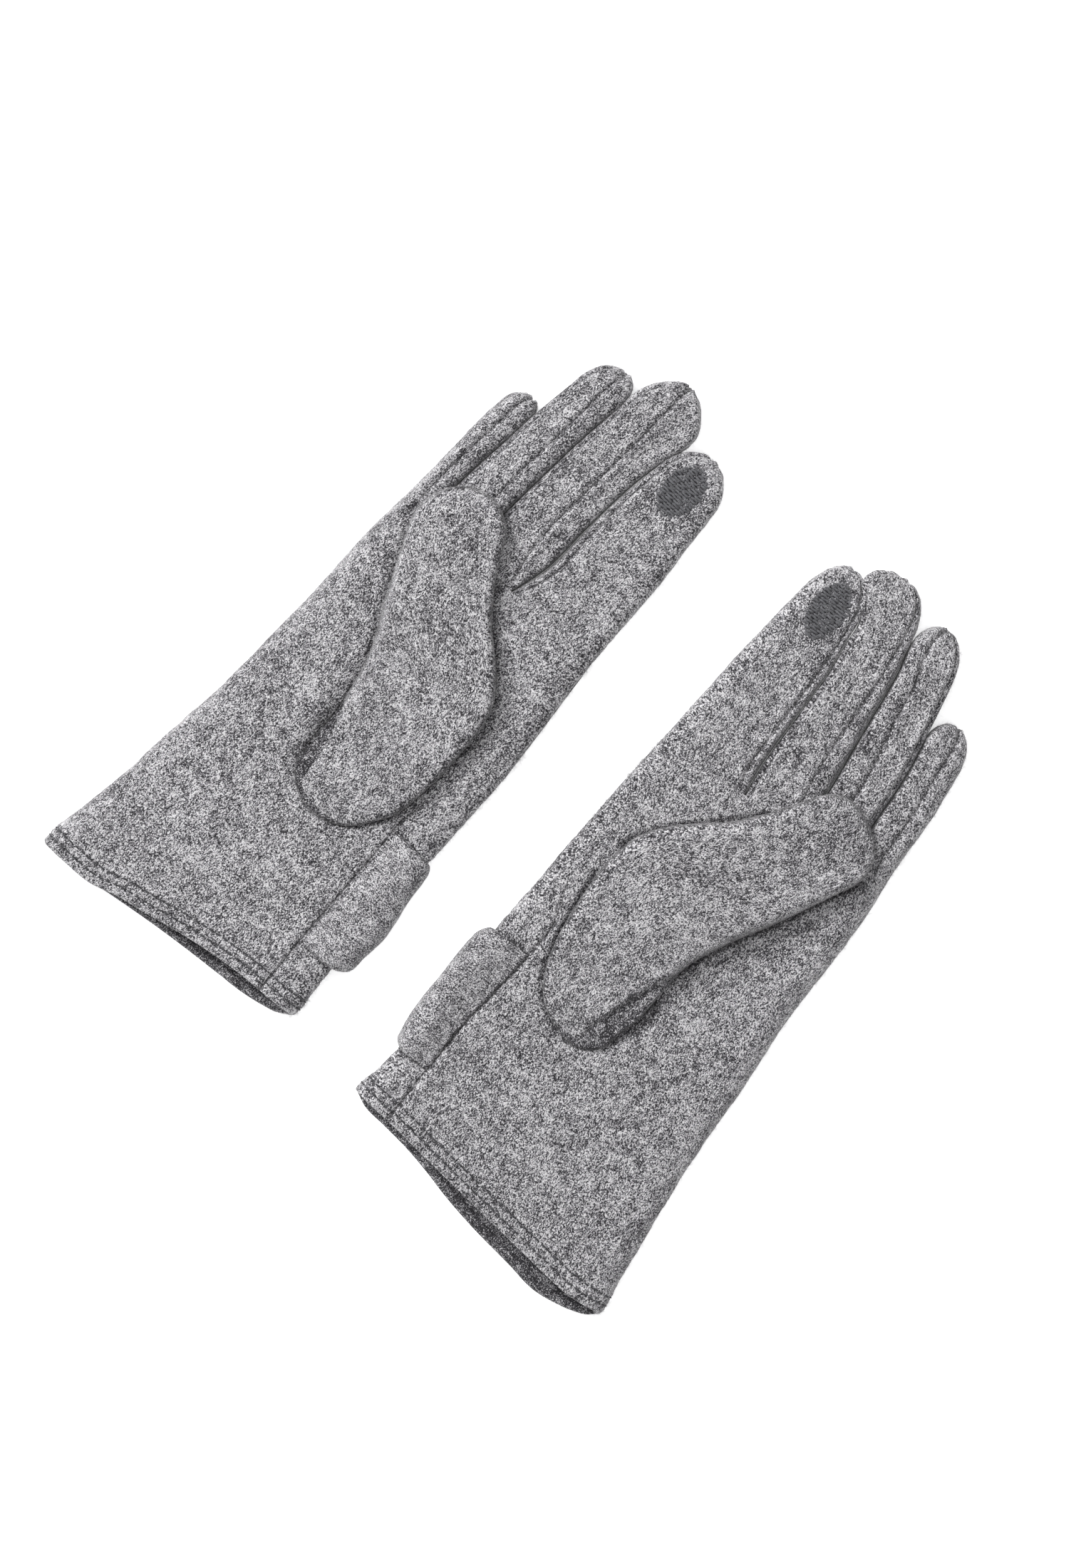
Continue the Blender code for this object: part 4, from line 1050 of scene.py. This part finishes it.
def tubes(centres, tangents, normals, half_width, sides=6):
    """Closed tubes, one for each row of centres, as points and faces. Every centre has a ring of
    sides points round it, half_width wide, and each end closes with one face."""
    count, steps = centres.shape[:2]
    side_ways = np.cross(tangents, normals)
    side_ways /= np.linalg.norm(side_ways, axis=-1, keepdims=True)
    turn = np.linspace(0.0, 2.0 * math.pi, sides, endpoint=False)
    across, up = side_ways[..., None, :], normals[..., None, :]
    ring = np.cos(turn)[:, None] * across + np.sin(turn)[:, None] * up
    half_width = np.broadcast_to(half_width, (count, steps))[..., None, None]
    points = centres[..., None, :] + ring * half_width
    index = np.arange(count * steps * sides).reshape(count, steps, sides)
    beside = np.roll(index, -1, axis=2)
    walls = np.stack([index[:, :-1], index[:, 1:], beside[:, 1:], beside[:, :-1]], axis=-1)
    caps = np.concatenate([index[:, 0], index[:, -1, ::-1]])
    return points.reshape(-1, 3), walls.reshape(-1, 4).tolist() + caps.tolist()


HEM_THREAD = thread_material("hem_thread", (0.06, 0.06, 0.065), 0.8)

for side in MIRROR:
    hand = hands[side]
    rows, columns = (np.arange(size) for size in hand["from_hem"].shape)
    reach = np.linspace(-0.5, 0.5, STITCH_STEPS) * STITCH_LENGTH
    rise = THREAD_RISE - THREAD_DIVE * (2.0 * np.abs(reach) / STITCH_LENGTH) ** 3
    centres, facing = [], []
    for stitch_row, first in zip(HEM_ROWS, FIRST_STITCH):
        share = np.array([np.interp(stitch_row, from_hem, rows) for from_hem in hand["from_hem"].T])
        near = share.astype(int)
        part = (share - near)[:, None]
        path = hand["outer"][near, columns] * (1.0 - part) + hand["outer"][near + 1, columns] * part
        gone = np.concatenate([[0.0], np.cumsum(np.linalg.norm(np.diff(path, axis=0), axis=1))])
        middles = np.arange(STITCH_PITCH * first, gone[-1] - 1.0, STITCH_PITCH)
        at = middles[:, None] + reach
        place = np.stack([np.interp(at, gone, values) for values in path.T], axis=-1)
        normals = hand["normal"][near, columns]
        up = np.stack([np.interp(at, gone, values) for values in normals.T], axis=-1)
        centres.append(place + up * rise[:, None])
        facing.append(up)
    centres, facing = np.concatenate(centres), np.concatenate(facing)
    tangents = np.gradient(centres, axis=1)
    facing /= np.linalg.norm(facing, axis=-1, keepdims=True)
    points, faces = tubes(centres, tangents, facing, THREAD)
    stitches = add_piece(side, "hem_stitches", points, faces, HEM_THREAD)
    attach(stitches, f"{side}_hand")


# ---- Touch patches ------------------------------------------------------------------------------
# An oval of dark conductive yarn is embroidered on each index fingertip. The yarn lies in rows
# across the finger, each in stitches a few millimetres long, and its ends make a ragged rim.
YARN_PITCH = 0.95  # from row to row
YARN = 0.34  # half the yarn's width
YARN_STITCH = 3.1
YARN_STEPS = 48
YARN_RISE = 0.16  # height of the yarn's middle over the felt
YARN_BOW = 0.12  # how much higher the middle of a stitch is
YARN_DIVE = 0.32  # how much lower it is at a needle hole
YARN_ENDS = 0.35  # how much lower a row's ends are

YARN_DARK = thread_material("conductive_yarn", (0.125, 0.125, 0.134), 0.55)

for side in MIRROR:
    middle_x, middle_y, half_wide, half_long = PATCH[side]
    surface = fingers[side, "index"]["outer"]
    rng = np.random.default_rng(11)
    rows_y = np.arange(-half_long, half_long + 0.01, YARN_PITCH)
    chord = half_wide * np.sqrt(np.clip(1.0 - (rows_y / (half_long + 0.4)) ** 2, 0.02, 1.0))
    start = -chord + rng.uniform(-0.55, 0.45, len(chord))
    end = chord + rng.uniform(-0.45, 0.55, len(chord))
    at = np.linspace(0.0, 1.0, YARN_STEPS)
    x = middle_x + start[:, None] + (end - start)[:, None] * at
    shift = rng.uniform(0.0, YARN_STITCH, len(chord))[:, None]
    stitch = np.mod(x + shift, YARN_STITCH) / YARN_STITCH
    from_hole = np.minimum(stitch, 1.0 - stitch)
    wander = 0.1 * np.sin(2.1 * x + 3.0 * rows_y[:, None])
    y = middle_y + rows_y[:, None] + wander + 0.12 * (stitch - 0.5)
    top = surface[:, : FRONT_COLUMNS["index"] + STRIP_COLUMNS + 1]
    row_y = top[..., 1].mean(axis=1)
    near = np.clip(np.searchsorted(row_y, middle_y + rows_y), 1, len(row_y) - 1)
    z = np.stack([np.interp(x[n], top[row, :, 0], top[row, :, 2]) for n, row in enumerate(near)])
    ends = bell(x - x[:, :1], 0.35) + bell(x - x[:, -1:], 0.35)
    z = z + YARN_RISE + YARN_BOW * np.sin(math.pi * stitch)
    z = z - YARN_DIVE * bell(from_hole, 0.06) - YARN_ENDS * ends
    centres = np.stack([x, y, z], axis=-1)
    tangents = np.gradient(centres, axis=1)
    up = np.broadcast_to((0.0, 0.0, 1.0), centres.shape)
    width = YARN * (1.0 - 0.35 * bell(from_hole, 0.08))
    points, faces = tubes(centres, tangents, up, width)
    patch = add_piece(side, "index_touch_patch", points, faces, YARN_DARK)
    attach(patch, f"{side}_index")
    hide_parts(f"{side}_touch_patch")


# ---- Loose fibres -------------------------------------------------------------------------------
# Felting leaves wool fibres standing off the cloth, most plainly along its outline. Each is a thin
# curved hair with a closed end, rooted in its piece, and those of the hand go with the hand.
FIBRE = 0.035  # half width
FIBRE_LENGTH = (0.7, 2.3)
FIBRE_STEPS = 5
FIBRE_COUNTS = {"hand": 3600, "finger": 620, "thumb": 1300}

FIBRE_WOOL = thread_material("loose_fibre", (0.33, 0.325, 0.335), 0.9)


def loose_fibres(grid, normal, count, seed):
    """Hairs rooted at random on a surface, thickest on its sides: a line that leaves the surface at a
    slant and curls, p = root + length (s along + s^2 curl), as points and faces."""
    rng = np.random.default_rng(seed)
    flat, facing = grid.reshape(-1, 3), normal.reshape(-1, 3)
    wanted = (0.16 + (1.0 - np.abs(facing[:, 2])) ** 2) * (facing[:, 2] > -0.35) * (flat[:, 2] > 1.5)
    root = rng.choice(len(flat), count, p=wanted / wanted.sum())
    up = facing[root]
    sideways = np.cross(up, rng.normal(size=(count, 3)))
    sideways /= np.linalg.norm(sideways, axis=1, keepdims=True)
    slant = rng.uniform(0.15, 0.95, (count, 1))
    along = np.cos(slant) * sideways + np.sin(slant) * up
    curl = 0.55 * np.cross(along, rng.normal(size=(count, 3)))
    length = rng.uniform(*FIBRE_LENGTH, (count, 1))
    share = np.linspace(0.0, 1.0, FIBRE_STEPS)[None, :, None]
    away = length[:, None] * (share * along[:, None] + 0.5 * share**2 * curl[:, None])
    centres = flat[root][:, None] - 0.15 * up[:, None] + away
    tangents = np.gradient(centres, axis=1)
    across = np.cross(tangents, sideways[:, None] + 0.3)
    across /= np.linalg.norm(across, axis=-1, keepdims=True)
    width = FIBRE * (1.0 - 0.7 * share[..., 0])
    return tubes(centres, tangents, across, width, sides=3)


for side in MIRROR:
    surfaces = [("hand", hands[side], "hand"), ("thumb", thumbs[side], "thumb")]
    surfaces += [(finger, fingers[side, finger], "finger") for finger in FINGERS[side]]
    for seed, (name, surface, kind) in enumerate(surfaces):
        grid, normal = surface["outer"][:-1], surface["normal"][:-1]
        points, faces = loose_fibres(grid, normal, FIBRE_COUNTS[kind], seed)
        fuzz = add_piece(side, f"{name}_fibres", points, faces, FIBRE_WOOL)
        if kind == "hand":
            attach(fuzz, f"{side}_hand")
        else:
            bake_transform(fuzz)
